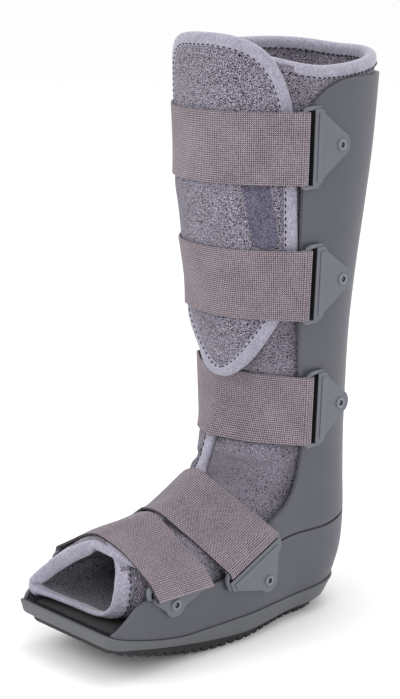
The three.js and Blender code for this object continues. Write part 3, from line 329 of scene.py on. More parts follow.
# How far the toe's edges lean back, by the angle from the instep: the lining's own, and that of the far
# side's edge, which runs back over the near side and under the toe strap
TOE_LINE = table(
    "turn back", (-PI, 3), (-2.2, -5), (-1.4, -1), (-0.4, 14), (0.3, 18), (0.8, 13), (1.2, 9), (2.2, 5), (PI, 3)
)
FAR_LINE = table(
    "turn back", (-PI, 3), (-2.2, -5), (-1.4, -1), (-0.4, 10), (0.3, 12), (0.8, 19), (1.2, 32), (PI, 50)
)


def toe_at(angle):
    """The station of the lining's toe edge."""
    return TOE_STATION + column(TOE_LINE, "turn", "back", angle)


def far_toe_at(angle):
    """The station of the far side's toe edge."""
    return TOE_STATION + column(FAR_LINE, "turn", "back", angle)


# The shell's outside
def leg_section(z):
    """The shell's half width and its depth behind the leg's axis at a height."""
    share = z / COLLAR_HEIGHT
    side = column(LEG, "height", "side", share) * CALF_WIDTH
    back = column(LEG, "height", "back", share) * CALF_DEPTH
    return side + LINER_GAP + SHELL_WALL, back + LINER_GAP + SHELL_WALL


SIDE_SPAN = 70.0  # length along y that one unit of the shell's turn stands for, ahead of the leg's axis


def shell_point(turn, z, grow=0.0):
    """The shell on the +X side at a height: round the back by a superellipse for a turn of 0 to a quarter
    circle, and straight ahead, flaring out to the forefoot, for a turn below 0."""
    turn, z = np.broadcast_arrays(np.asarray(turn, float), np.asarray(z, float))
    side, back = leg_section(z)
    behind = np.clip(turn, 0, PI / 2)
    bend = lambda v: np.abs(v) ** (2 / BACK_POWER)
    y = np.where(turn > 0, (back + grow) * bend(np.sin(behind)), turn * SIDE_SPAN)
    flare = smoothstep(-y, 0, SIDE_SPAN) * (1 - smoothstep(z, 75, 115))
    wide = lerp(side, FOREFOOT_WIDTH / 2, flare) + grow
    ahead = np.clip((-y - TOE_REACH + TOE_CORNER) / TOE_CORNER, 0, 1)
    wide = wide - TOE_CORNER * (1 - np.sqrt(1 - ahead**2))
    x = np.where(turn > 0, (side + grow) * bend(np.cos(behind)), wide)
    return np.stack([x, y, z], -1)


def shell_side(y, z):
    """How far out the shell stands at a place in the side view."""
    side, back = leg_section(z)
    behind = np.arcsin(np.clip(np.maximum(y, 0) / back, 0, 1) ** (BACK_POWER / 2))
    return shell_point(np.where(y > 0, behind, y / SIDE_SPAN), z)[..., 0]


# The seam between the foot shell and the upright, from the instep back to the heel
SEAM = table("y z", (-85, -16), (-55, -7), (-22, 0), (20, 0), (66, SEAM_RISE))


def seam_at(y):
    """Height of the seam's middle."""
    return SEAM_HEIGHT + column(SEAM, "y", "z", y)


# Meshes
def quads(rows, cols):
    """The corners of a grid's faces."""
    ids = np.arange(rows * cols).reshape(rows, cols)
    return np.stack([ids[:-1, :-1], ids[:-1, 1:], ids[1:, 1:], ids[1:, :-1]], -1).reshape(-1, 4)


def finish_piece(name, points, faces, uv, material, replaces, bevel, sharp=None):
    """Puts points and faces into a mesh with its faces outwards, welds its seams and hangs it on the
    frame."""
    corners = points[faces]
    normals = np.cross(corners[:, 2] - corners[:, 0], corners[:, 3] - corners[:, 1])
    middle = corners.mean(1)
    if ((middle - middle.mean(0)) * normals).sum() < 0:
        faces = faces[:, ::-1]
    mesh = bpy.data.meshes.new(name)
    mesh.from_pydata(((points + LEG_AXIS) * MM).tolist(), [], faces.tolist())
    if uv is not None:
        mesh.uv_layers.new(name="flat").data.foreach_set("uv", (uv[faces] * MM).ravel())
    weld = bmesh.new()
    weld.from_mesh(mesh)
    bmesh.ops.remove_doubles(weld, verts=weld.verts, dist=2e-6)
    bmesh.ops.dissolve_degenerate(weld, edges=weld.edges, dist=1e-7)
    weld.to_mesh(mesh)
    weld.free()
    return dress(bpy.data.objects.new(name, mesh), material, replaces, bevel, sharp)


def dress(obj, material, replaces=(), bevel=None, sharp=None):
    """Links a piece, shades it smooth, rounds its edges and says what it stands for."""
    bpy.context.scene.collection.objects.link(obj)
    obj.data.polygons.foreach_set("use_smooth", np.ones(len(obj.data.polygons), bool))
    if sharp:
        obj.data.set_sharp_from_angle(angle=math.radians(sharp))
    if bevel:
        width, segments = bevel
        rounding = obj.modifiers.new("rounded edges", "BEVEL")
        rounding.width = width * MM
        rounding.segments = segments
        rounding.limit_method = "ANGLE"
        rounding.angle_limit = math.radians(40)
    obj.data.materials.clear()
    obj.data.materials.append(material)
    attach(obj, "root")
    if replaces:
        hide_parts(*replaces)
    return obj


def surface(name, grid, material, uv=None, replaces=(), bevel=None, sharp=None):
    """A piece from one grid of points. Edges that meet are welded."""
    rows, cols = grid.shape[:2]
    flat = None if uv is None else uv.reshape(-1, 2)
    points = grid.reshape(-1, 3)
    return finish_piece(name, points, quads(rows, cols), flat, material, replaces, bevel, sharp)


def slab(name, outer, inner, material, slot, uv=None, ring=False, replaces=(), bevel=None, sharp=None):
    """A piece between an outer and an inner grid, closed by a rim. A ring's last column is its first."""
    rows, cols = outer.shape[:2]
    count = rows * cols
    ids = np.arange(count).reshape(rows, cols)
    face = quads(rows, cols)
    lines = [ids[0], ids[-1][::-1]]
    if not ring:
        lines += [ids[::-1, 0], ids[:, -1]]
    rims = [np.stack([a[1:], a[:-1], a[:-1] + count, a[1:] + count], -1) for a in lines]
    faces = np.concatenate([face, face[:, ::-1] + count, *rims])
    points = np.concatenate([outer.reshape(-1, 3), inner.reshape(-1, 3)])
    flat = None if uv is None else np.concatenate([uv.reshape(-1, 2)] * 2)
    return finish_piece(name, points, faces, flat, material, replaces, bevel, sharp)


def closed_ends(grid):
    """The same tube with each open end drawn together at its middle."""
    ends = [np.broadcast_to(grid[:, k].mean(0), (len(grid), 3))[:, None] for k in (0, -1)]
    return np.concatenate([ends[0], grid, ends[1]], 1)


def run_of(points):
    """Distance along a line of points."""
    steps = np.linalg.norm(np.diff(points, axis=0), axis=1)
    return np.concatenate([[0], np.cumsum(steps)])


def resampled(points, count):
    """The same line at even steps."""
    far = run_of(points)
    where = np.linspace(0, far[-1], count)
    return np.stack([np.interp(where, far, points[:, k]) for k in range(points.shape[1])], -1)


# Materials
def srgb(red, green, blue):
    """Linear colour of a colour that is given from 0 to 255 as a screen shows it."""
    share = np.array([red, green, blue]) / 255
    linear = np.where(share > 0.04045, ((share + 0.055) / 1.055) ** 2.4, share / 12.92)
    return (*linear.tolist(), 1.0)


def new_group(name, inputs, outputs):
    """A shader node group with named sockets."""
    group = bpy.data.node_groups.new(name, "ShaderNodeTree")
    for label, kind, value in inputs:
        socket = group.interface.new_socket(label, in_out="INPUT", socket_type="NodeSocket" + kind)
        if value is not None:
            socket.default_value = value
    for label, kind in outputs:
        group.interface.new_socket(label, in_out="OUTPUT", socket_type="NodeSocket" + kind)
    return group, group.nodes.new("NodeGroupInput"), group.nodes.new("NodeGroupOutput")


def node(tree, kind, links=(), **values):
    """A node with its settings and its inputs: a socket to link, or a value."""
    made = tree.nodes.new("ShaderNode" + kind)
    for name, value in values.items():
        setattr(made, name, value)
    for name, value in dict(links).items():
        if isinstance(value, bpy.types.NodeSocket):
            tree.links.new(value, made.inputs[name])
        else:
            made.inputs[name].default_value = value
    return made


def math_node(tree, operation, first, second=None):
    """One step of arithmetic on sockets or numbers."""
    links = {0: first}
    if second is not None:
        links[1] = second
    return node(tree, "Math", links, operation=operation).outputs[0]


def added(tree, first, second):
    """The sum of two sockets or numbers."""
    return math_node(tree, "ADD", first, second)


def times(tree, first, second):
    """The product of two sockets or numbers."""
    return math_node(tree, "MULTIPLY", first, second)


def mixed(tree, factor, first, second):
    """The colour a factor of the way from the first to the second, all three as sockets."""
    made = node(tree, "Mix", data_type="RGBA")
    sockets = {socket.identifier: socket for socket in made.inputs}
    for name, source in (("Factor_Float", factor), ("A_Color", first), ("B_Color", second)):
        tree.links.new(source, sockets[name])
    return next(socket for socket in made.outputs if socket.identifier == "Result_Color")


def pattern_group(name, inputs):
    """A group that takes a light and a dark colour and puts out a colour and a height."""
    colours = [("Light", "Color", None), ("Dark", "Color", None)]
    return new_group(name, inputs + colours, [("Color", "Color"), ("Height", "Float")])


def finish_pattern(group, source, target, shade, low, high, height):
    """Colours a group by its shade, from dark at the low end to light at the high end."""
    factor = node(group, "MapRange", {"Value": shade, "From Min": low, "From Max": high}).outputs["Result"]
    colour = mixed(group, factor, source.outputs["Dark"], source.outputs["Light"])
    group.links.new(colour, target.inputs["Color"])
    group.links.new(height, target.inputs["Height"])
    return group


def noise(group, place, scale, detail, **links):
    """A soft random value over a place, finer with its scale and detail."""
    links = {"Vector": place, "Scale": scale, "Detail": detail, **links}
    return node(group, "TexNoise", links).outputs["Fac"]


def pebble_group():
    """Brushed fabric: small uneven loops with painted light on top and painted shade between, over soft larger
    patches.
    """
    inputs = [("Loop", "Float", 900.0), ("Patch", "Float", 60.0)]
    group, source, target = pattern_group("looped fabric", inputs)
    place = node(group, "TexCoord").outputs["Object"]
    loops = node(group, "TexVoronoi", {"Vector": place, "Scale": source.outputs["Loop"], "Randomness": 0.8})
    height = math_node(group, "SUBTRACT", 1.0, loops.outputs["Distance"])
    height = times(group, height, added(group, noise(group, place, 420.0, 2.0), 0.55))
    patch = noise(group, place, source.outputs["Patch"], 3.0)
    # The loops' height lightens their tops and darkens the gaps as painted light and shade; the patches are
    # real tone
    shade = added(group, height, times(group, patch, 0.22))
    return finish_pattern(group, source, target, shade, 0.42, 0.88, height)


def knit_group():
    """Looped knit on the cloth's own lengths: rows of small loops, each swayed by a noise, with painted light
    on their tops and painted shade between them, with fuzz, over soft larger patches."""
    group, source, target = pattern_group("looped knit", [("Pitch", "Float", 0.0014)])
    place = node(group, "SeparateXYZ", {0: node(group, "TexCoord").outputs["UV"]})
    world = node(group, "TexCoord").outputs["Object"]
    sway = times(group, math_node(group, "SUBTRACT", noise(group, world, 380.0, 2.0), 0.5), 16.0)
    turn = math_node(group, "DIVIDE", PI, source.outputs["Pitch"])
    waves = [added(group, times(group, place.outputs[name], turn), sway) for name in "XY"]
    loops, rows = [math_node(group, "ABSOLUTE", math_node(group, "SINE", wave)) for wave in waves]
    dots = times(group, math_node(group, "POWER", loops, 0.7), rows)
    fuzz = noise(group, world, 1500.0, 2.0)
    patch = noise(group, world, 55.0, 3.0)
    # The loops' height paints light on their tops and shade between them; fuzz and patches are real tone
    shade = added(group, times(group, dots, 0.75), times(group, fuzz, 0.55))
    shade = added(group, shade, times(group, patch, 0.25))
    return finish_pattern(group, source, target, shade, 0.62, 0.97, added(group, dots, fuzz))


def weave_group():
    """Webbing: threads cross in a small basket weave on the strap's own lengths, with uneven yarn; the raised
    threads get painted light and the dips between them painted shade.
    """
    group, source, target = pattern_group("webbing weave", [("Pitch", "Float", 0.0013)])
    place = node(group, "SeparateXYZ", {0: node(group, "TexCoord").outputs["UV"]})
    turn = math_node(group, "DIVIDE", 2 * PI, source.outputs["Pitch"])
    along, across = [times(group, place.outputs[name], turn) for name in "XY"]
    half_waves = [math_node(group, "SINE", times(group, wave, 0.5)) for wave in (along, across)]
    ribs, cords = [math_node(group, "ABSOLUTE", wave) for wave in half_waves]
    checks = times(group, math_node(group, "SINE", along), math_node(group, "SINE", across))
    height = added(group, times(group, ribs, cords), times(group, checks, 0.35))
    world = node(group, "TexCoord").outputs["Object"]
    yarn = noise(group, world, 700.0, 2.0)
    patch = noise(group, world, 45.0, 3.0)
    # The weave's height paints light on raised threads and shade in the dips; yarn and patches are real tone
    shade = added(group, times(group, height, 0.7), times(group, yarn, 0.45))
    shade = added(group, shade, times(group, patch, 0.25))
    relief = added(group, height, times(group, yarn, 0.5))
    return finish_pattern(group, source, target, shade, 0.3, 1.05, relief)


def grain_group():
    """Moulded plastic: a fine eggshell grain and faint flow marks in colour and roughness."""
    inputs = [("Grain", "Float", 1500.0), ("Base", "Color", None), ("Tint", "Color", None)]
    inputs.append(("Rough", "Float", 0.4))
    outputs = [("Color", "Color"), ("Height", "Float"), ("Roughness", "Float")]
    group, source, target = new_group("moulded grain", inputs, outputs)
    place = node(group, "TexCoord").outputs["Object"]
    fine = noise(group, place, source.outputs["Grain"], 3.0)
    flow = noise(group, place, 14.0, 4.0, Distortion=0.6)
    colour = mixed(group, flow, source.outputs["Base"], source.outputs["Tint"])
    rough = added(group, source.outputs["Rough"], times(group, flow, 0.14))
    group.links.new(colour, target.inputs["Color"])
    group.links.new(fine, target.inputs["Height"])
    group.links.new(rough, target.inputs["Roughness"])
    return group


PEBBLE = pebble_group()
KNIT = knit_group()
WEAVE = weave_group()
GRAIN = grain_group()


def material_of(name, group, values, bump, roughness=None, sheen=0.0, specular=0.5):
    """A material whose colour and relief come from a node group."""
    made = bpy.data.materials.new(name)
    made.use_nodes = True
    tree = made.node_tree
    shader = tree.nodes["Principled BSDF"]
    effect = tree.nodes.new("ShaderNodeGroup")
    effect.node_tree = group
    for label, value in values.items():
        effect.inputs[label].default_value = value
    tree.links.new(effect.outputs["Color"], shader.inputs["Base Color"])
    strength, distance = bump
    links = {"Height": effect.outputs["Height"], "Strength": strength, "Distance": distance * MM}
    tree.links.new(node(tree, "Bump", links).outputs["Normal"], shader.inputs["Normal"])
    if roughness is None:
        tree.links.new(effect.outputs["Roughness"], shader.inputs["Roughness"])
    else:
        shader.inputs["Roughness"].default_value = roughness
    shader.inputs["Specular IOR Level"].default_value = specular
    shader.inputs["Sheen Weight"].default_value = sheen
    return made


def plastic(name, base, tint, grain=1500.0, rough=0.36, relief=0.12):
    """Plastic, rubber or metal with a moulded grain."""
    values = {"Base": srgb(*base), "Tint": srgb(*tint), "Grain": grain, "Rough": rough}
    return material_of(name, GRAIN, values, (relief, 0.15))


def fabric(name, light, dark, loop, patch=60.0, bump=(0.9, 0.8), sheen=0.1):
    """Brushed fabric with a loop of its own size."""
    values = {"Light": srgb(*light), "Dark": srgb(*dark), "Loop": loop, "Patch": patch}
    return material_of(name, PEBBLE, values, bump, roughness=0.95, sheen=sheen, specular=0.2)


def cloth(name, group, light, dark, pitch, bump, finish):
    """Knit or woven cloth that follows the piece's own map; its finish is roughness, sheen and specular."""
    values = {"Light": srgb(*light), "Dark": srgb(*dark), "Pitch": pitch}
    return material_of(name, group, values, bump, *finish)


SHELL_PLASTIC = plastic("shell plastic", (77, 78, 87), (70, 71, 80))
LOOP_PLASTIC = plastic("loop plastic", (99, 101, 110), (91, 93, 102), rough=0.32)
SOLE_PLASTIC = plastic("sole plastic", (88, 90, 95), (80, 82, 87), rough=0.42)
TREAD_RUBBER = plastic("tread rubber", (34, 34, 36), (24, 24, 26), grain=700.0, rough=0.6, relief=0.3)
RIVET_METAL = plastic("rivet", (128, 130, 138), (104, 106, 114), rough=0.25)
# Near-black painted shade for the slot's floor and back wall and for the rivets' hollow middles
PAINTED_RECESS_SHADE = plastic("painted recess shade", (8, 8, 9), (5, 5, 6), rough=0.8)
# In the fabrics below, the dark colour goes between the loops or threads as painted shade and the light one on
# their tops as painted light; their soft patches are real tone
TAPE_FABRIC = fabric("edge tape", (176, 172, 188), (122, 118, 134), 1900.0, 90.0, (0.4, 0.25), sheen=0.4)
HOOK_FABRIC = fabric("hook tape", (118, 114, 134), (52, 49, 66), 1500.0, 120.0, (0.6, 0.5), sheen=0.25)
FOAM_BOARD = fabric("insole foam", (27, 28, 33), (14, 14, 18), 1600.0, bump=(0.3, 0.3))
# The thread's dark colour is painted shade of the dimples that the stitches sink into
PAINTED_SHADE_THREAD = fabric("thread", (46, 42, 54), (24, 22, 30), 2500.0, bump=(0.2, 0.2))
LOOP_FABRIC = cloth("looped fabric", KNIT, (188, 180, 200), (12, 8, 18), 0.00115, (0.9, 0.6), (0.95, 0.25, 0.2))
WEBBING = cloth("webbing", WEAVE, (174, 160, 170), (24, 18, 24), 0.0015, (0.9, 0.35), (0.9, 0.2, 0.25))


# The moulded shell
def front_edge():
    """The upright's front edge seen from the side: heights and how far back of the edge line, from the seam
    up through the dip over the ankle, then a quarter ellipse to the top."""
    dip = table(
        "share back",
        (0.15, -34),
        (0.187, -33),
        (0.211, -19),
        (0.227, -7),
        (0.252, 3.5),
        (0.3, 10),
        (0.355, 12),
        (0.42, 9),
        (0.53, 4.5),
        (0.7, 0.3),
        (0.8, 0),
    )
    low = SHELL_HEIGHT - SHELL_CORNER
    z = np.concatenate([np.linspace(0.15, 0.8, 140) * SHELL_HEIGHT, [low]])
    y = np.append(column(dip, "share", "back", z[:-1] / SHELL_HEIGHT), 0) - SHELL_EDGE
    turn = np.linspace(0.03, PI / 2, 30)
    z = np.append(z, low + SHELL_CORNER * np.sin(turn))
    y = np.append(y, 1.45 * SHELL_CORNER * (1 - np.cos(turn)) - SHELL_EDGE)
    return z, y


EDGE_Z, EDGE_Y = front_edge()


def mirrored(half):
    """The +X half of a row of points, then the same points on the other side in turned order."""
    return np.concatenate([half, half[:, -2::-1] * [-1, 1, 1]], 1)


def upright_grid(grow, rows=170, cols=48):
    """Rows rise from the seam to the top, closer together at the round corner. Each row runs from the
    front edge round the back to the other front edge, at a height that follows the seam at the bottom."""
    rise = np.sin(np.linspace(0, PI / 2, rows))[:, None]
    share = np.linspace(0, 1, cols)[None, :]
    start_y = np.full((rows, 1), -40.0)
    for _ in range(12):
        start_z = lerp(seam_at(start_y) + SEAM_GAP / 2, SHELL_HEIGHT, rise)
        start_y = np.interp(start_z, EDGE_Z, EDGE_Y)
    y = np.full((rows, cols), -40.0)
    for _ in range(4):
        z = lerp(seam_at(y) + SEAM_GAP / 2, SHELL_HEIGHT, rise)
        back = leg_section(z)[1] + grow
        behind = np.arcsin(np.clip(np.maximum(start_y, 0) / back, 0, 1) ** (BACK_POWER / 2))
        first = np.where(start_y > 0, behind, start_y / SIDE_SPAN)
        half = shell_point(lerp(first, PI / 2, share), z, grow)
        y = half[..., 1]
    return mirrored(half)


def wall_top():
    """The foot shell's top edge from the toe back: a nose that rises to the wall, then the seam."""
    arch = -88.0
    line = table(
        "y z",
        (-TOE_REACH + 3, sole_line(-TOE_REACH) + SEAT_GAP),
        (-175, TOE_WALL_HEIGHT - 11.5),
        (-163, TOE_WALL_HEIGHT - 3),
        (-146, TOE_WALL_HEIGHT),
        (-118, TOE_WALL_HEIGHT - WALL_DIP * 0.6),
        (arch, seam_at(arch) - SEAM_GAP / 2),
        (-70, seam_at(-70) - SEAM_GAP / 2),
    )
    return lambda y: np.where(y < arch, column(line, "y", "z", y), seam_at(y) - SEAM_GAP / 2)


WALL_TOP = wall_top()


def foot_grid(grow, thin=0.0, rows=26, cols=110):
    """Rows rise from the sole line to the wall's top; columns run from the toe round the heel."""
    ahead = np.linspace((3 - TOE_REACH) / SIDE_SPAN, 0, 70)[:-1]
    turns = np.concatenate([ahead, np.linspace(0, PI / 2, cols - 69)])
    rise = np.linspace(0, 1, rows)[:, None]
    z = np.full((rows, len(turns)), 50.0)
    for _ in range(4):
        y = shell_point(turns, z, grow)[..., 1]
        z = lerp(sole_line(y) + SEAT_GAP, WALL_TOP(y), rise)
    lap = thin * smoothstep(z, seam_at(y) - 16, seam_at(y) - 13) * smoothstep(y, -60, -54)
    return mirrored(shell_point(turns, z, grow + lap))


def seam_lap():
    """The upright's thinned skirt behind the seam's groove."""
    turns = np.linspace(-54 / SIDE_SPAN, PI / 2, 70)
    layers = []
    for grow in (-1.8, -2.8):
        z = np.full((2, 70), 70.0)
        for _ in range(3):
            y = shell_point(turns, z, grow)[..., 1]
            z = seam_at(y) + np.array([[-12.0], [3.0]])
        layers.append(mirrored(shell_point(turns, z, grow)))
    return layers


for name, layers, bevel in (
    ("upright_shell", (upright_grid(0), upright_grid(-SHELL_WALL)), 1.0),
    ("foot_shell", (foot_grid(0), foot_grid(-SHELL_WALL, 1.5)), 0.8),
):
    slab(f"{name}_skin", *layers, SHELL_PLASTIC, "shell", replaces=[name], bevel=(bevel, 3))
slab("upright_lap", *seam_lap(), SHELL_PLASTIC, "shell")


# The sole
def sole_outline(height, grow, shrink=1.0):
    """A closed plan of the sole: round the heel, along the side, round the toe's corner and across the toe.
    Shrink pulls it in to the middle line."""
    reach = TOE_REACH + grow
    back = np.linspace(PI / 2, 0, 40)[:-1]
    side = -np.linspace(0, reach - TOE_CORNER, 150)
    turn = np.linspace(0, PI / 2, 9)[1:]

    def wide(y):
        """Half width: the leg section's at the heel, eased to the forefoot's ahead of the leg."""
        leg_side = leg_section(np.asarray(height(y)))[0]
        return lerp(leg_side, FOREFOOT_WIDTH / 2, smoothstep(-y, 0, SIDE_SPAN)) + grow

    heel_y = np.full(len(back), 40.0)
    for _ in range(3):
        heel = shell_point(back, height(heel_y), grow)
        heel_y = heel[:, 1]
    corner_y = -reach + TOE_CORNER * (1 - np.sin(turn))
    corner_x = wide(side[-1:]) - TOE_CORNER * (1 - np.cos(turn))
    front_x = np.linspace(corner_x[-1], 0, 12)[1:]
    x = np.concatenate([heel[:, 0], wide(side), corner_x, front_x])
    y = np.concatenate([heel_y, side, corner_y, np.full(len(front_x), -reach)])
    half = np.stack([x * shrink, y, height(y)], -1)
    return np.concatenate([half, half[-2::-1] * [-1, 1, 1]])


def sole_piece(name, rows, material, replaces, sharp=None):
    """A closed block from rows of outlines, each with its growth, height and shrink."""
    grid = np.stack([sole_outline(height, grow, shrink) for grow, height, shrink in rows])
    return surface(name, grid, material, replaces=replaces, sharp=sharp)


def above(base, rise):
    """A height function raised by a length."""
    return lambda y: base(y) + rise


TRAY = -SOLE_RIM


def mid_sole(y):
    """Height half way up the midsole's side."""
    return lerp(sole_bottom(y), sole_line(y), 0.5)


# Rows run from the middle of the underside out, up the side, over the rim and in across the tray
sole_piece(
    "midsole_body",
    [(-1.4, sole_bottom, s) for s in (0, 0.5, 0.9, 1)]
    + [(grow, above(sole_bottom, rise), 1) for grow, rise in ((-0.6, 0.3), (0.2, 1.1), (0.5, 2.2))]
    + [(0.9, mid_sole, 1)]
    + [(grow, above(sole_line, rise), 1) for grow, rise in ((1.3, -2.6), (1.6, -1.5))]
    + [(grow, above(sole_line, rise), 1) for grow, rise in ((1.5, -0.6), (1.1, -0.1))]
    + [(grow, sole_line, 1) for grow in (0.5, TRAY + 0.4)]
    + [(TRAY + 0.1, above(sole_line, -0.2), 1), (TRAY, above(sole_line, -0.6), 1)]
    + [(TRAY, above(sole_line, -3), s) for s in (1, 0.95, 0.5, 0)],
    SOLE_PLASTIC, ["midsole"],
)
FOAM = -SOLE_RIM - SEAT_GAP - SHELL_WALL - 0.2
insole_floor = above(sole_line, SEAT_GAP - 3)
sole_piece(
    "insole_board",
    [(FOAM, insole_floor, s) for s in (0, 0.5, 1)]
    + [(FOAM - inset, above(insole_top, -drop), 1) for inset, drop in ((0, 1.5), (0.4, 0.5), (1.3, 0))]
    + [(FOAM - 1.3, insole_top, s) for s in (0.95, 0.5, 0)],
    FOAM_BOARD, ["insole"],
)
LUG_PITCH = 8.5
LUG_DEPTH = 2.6


def tread_face(y):
    """The tread's underside: the rocker, cut by cross grooves with steep sides."""
    wave = 0.5 + 0.5 * np.cos(2 * PI * (y + TOE_REACH) / LUG_PITCH)
    return ground(y) + LUG_DEPTH * smoothstep(wave, 0.62, 0.8)


def tread_inset(z):
    """How far the tread's side lies in, most at the ground."""
    return -TREAD_TAPER * (1 - z / (SOLE_LINE + TOE_SPRING))


under_sole = above(sole_bottom, -SEAT_GAP)
TREAD_LOW = tread_inset(0.0)


def tread_waist(y):
    """Height three quarters of the way up the tread's side."""
    return lerp(ground(y), under_sole(y), 0.75)


sole_piece(
    "outsole_tread",
    [(TREAD_LOW, tread_face, s) for s in (0, 0.4, 0.8, 1)]
    + [(TREAD_LOW + 0.8, above(tread_face, 0.8), 1), (tread_inset(8.0), tread_waist, 1)]
    + [(tread_inset(10.0), under_sole, s) for s in (1, 0.5, 0)],
    TREAD_RUBBER, ["outsole"], sharp=35,
)


# The liner
STRAP_SHARES = {"calf": 0.868, "shin": 0.63, "ankle": 0.4}


def pressed(at, **weights):
    """1 under the middle of each strap, times its weight, falling off past its edges."""
    places = {name: (at - STRAP_SHARES[name] * COLLAR_HEIGHT) / 26.0 for name in weights}
    return sum(weight * np.exp(-(places[name] ** 4)) for name, weight in weights.items())


def puff(at, angle):
    """How the padding stands: pressed in under the straps, full between them, with folds across the ankle.
    It fades out where the shell holds the liner."""
    place = liner_skin(at, angle)
    free = smoothstep(-place[..., 1], 14, 30) * smoothstep(place[..., 2], 56, 70)
    press = pressed(at, calf=1.0, shin=1.0, ankle=2.1)
    folds = np.sin(at / 5.2 + 1.3 * np.sin(angle * 2.0)) * np.exp(-(((at - 100) / 34.0) ** 2))
    slack = 0.7 * np.sin(at / 17.0 + 3 * angle) + 0.5 * np.sin(at / 9.0 - 5 * angle + 1)
    return free * (0.9 - 1.5 * press + 0.9 * folds * smoothstep(np.abs(angle), 0.15, 0.6) + 0.5 * slack)


def toe_wall(angle):
    """The lining's thickness at the toe's edge, thin along the bottom."""
    return lerp(4.0, 2.2, smoothstep(np.abs(angle), 1.7, 2.3))


def liner_grids(rows=230, cols=181):
    """The padding's two faces: rows run from the collar's rim to the toe's edge and columns once round. The
    outer face lies at the puff's height over the skin and the inner one a wall, with slow waves, below it."""
    turns = np.linspace(-PI, PI, cols)[None, :]
    share = np.linspace(0, 1, rows)[:, None]
    at = lerp(rim_at(turns) - 3, toe_at(turns) + 3, share)
    outer = over_liner(at, turns, puff(at, turns) - 0.1)
    flat = np.stack(np.broadcast_arrays(turns * CALF_WIDTH / 2, at), -1)
    wall = lerp(toe_wall(turns), LINER_WALL, smoothstep(at, TOE_STATION + 20, TOE_STATION + 60))
    inner = over_liner(at, turns, -wall + 0.4 * np.sin(at / 11.0) * np.sin(3 * turns))
    return outer, inner, flat


LINER_OUT, LINER_IN, LINER_FLAT = liner_grids()
liner = slab(
    "padded_liner", LINER_OUT, LINER_IN, LOOP_FABRIC, "lining", LINER_FLAT, ring=True, replaces=["liner"]
)


def edge_tape(name, edge, inward, replaces, low=0.9, wall=lambda turns: LINER_WALL + 0 * turns, cols=241):
    """Tape folded over an edge: a flat run on the outside, a half round over the edge and a flat run inside.
    `edge` gives the edge's station at an angle and `inward` the way from it into the liner."""
    turns = np.linspace(-PI, PI, cols)
    thick = wall(turns)
    radius = thick / 2 + low
    bend = np.linspace(0, PI, 13)[:, None]
    run = np.array([TAPE_WIDTH - 0.2, TAPE_WIDTH, TAPE_WIDTH - 1.2, 6.5])[:, None] + 0 * turns
    face = np.array([-0.6, 0.1, low * 0.8, low])[:, None] + 0.25 * np.sin(turns * 37) * np.sin(turns * 11 + 1)
    depth = np.concatenate([run, radius * (1 - np.sin(bend)), run[::-1]])
    height = np.concatenate([face, -thick / 2 + radius * np.cos(bend), -thick - face[::-1]])
    grid = over_liner(edge(turns) + inward * depth, turns, height)
    return surface(name, np.concatenate([grid, grid[:1]]), TAPE_FABRIC, replaces=replaces)


edge_tape("collar_tape", rim_at, -1, ["collar_binding"])
edge_tape("toe_tape", toe_at, 1, ["toe_binding"], low=0.7, wall=toe_wall)


# Stitches
def stitches(name, line, normal, length=2.9, pitch=4.6, radius=0.55, sides=6):
    """Threads that dip in and out along a line: each is a short round bar, bowed up in the middle."""
    far = run_of(line)
    where = np.arange(pitch / 2, far[-1], pitch)
    pick = lambda values, at: np.stack([np.interp(at, far, values[:, k]) for k in range(3)], -1)
    middle = pick(line, where)
    ahead = unit(pick(line, where + 0.5) - pick(line, where - 0.5))
    up = unit(pick(normal, where))
    aside = unit(np.cross(ahead, up))
    run = np.linspace(-1, 1, 7)
    thick = radius * np.sqrt(np.clip(1 - run**4, 0, 1))
    bow = 0.35 * (1 - run**2) - 0.2
    turn = np.linspace(0, 2 * PI, sides + 1)[:-1]
    round_it = thick[:, None] * np.cos(turn), bow[:, None] + thick[:, None] * np.sin(turn)
    local = np.stack([np.broadcast_to(run[:, None] * length / 2, (7, sides)), *round_it], -1)
    base = np.stack([ahead, aside, up], 1)
    points = middle[:, None, None] + np.einsum("rsk,nkj->nrsj", local, base)
    ids = np.arange(7 * sides).reshape(7, sides)
    after = np.roll(ids, -1, 1)
    face = np.stack([ids[:-1], after[:-1], after[1:], ids[1:]], -1).reshape(-1, 4)
    faces = (face[None] + (np.arange(len(middle)) * 7 * sides)[:, None, None]).reshape(-1, 4)
    return finish_piece(name, points.reshape(-1, 3), faces, None, PAINTED_SHADE_THREAD, (), None)


def stitch_on_liner(name, at, angle, height):
    """Stitches along a line on the liner, outside it or, with a height below 0, inside."""
    line = over_liner(at, angle, height)
    return stitches(name, line, liner_normal(at, angle) * (1 if height > 0 else -1))


AROUND = np.linspace(-PI, PI, 400)
stitch_on_liner("collar_stitches_outer", rim_at(AROUND) - TAPE_WIDTH + 0.9, AROUND, 0.9)
stitch_on_liner("collar_stitches_inner", rim_at(AROUND) - TAPE_WIDTH + 0.9, AROUND, -LINER_WALL - 0.9)
stitch_on_liner("toe_stitches_outer", toe_at(AROUND) + TAPE_WIDTH - 0.9, AROUND, 0.9)


# The overlap down the front: the far panel's edge lies over the near side
PANEL_UNDER = 0.8


def panel_edge(at):
    """The free edge's arc from the middle: left of it at the shin, over the near side at the toe."""
    down = FAN_START - at
    return -9 + 17 * smoothstep(down, 0, 143) + 22 * smoothstep(down, 150, FAN_START - TOE_STATION)


def panel_stations(count=220):
    """Stations of the free edge from just under the collar to the toe."""
    return np.linspace(0.985 * COLLAR_HEIGHT, toe_at(0.0) + 1.0, count)


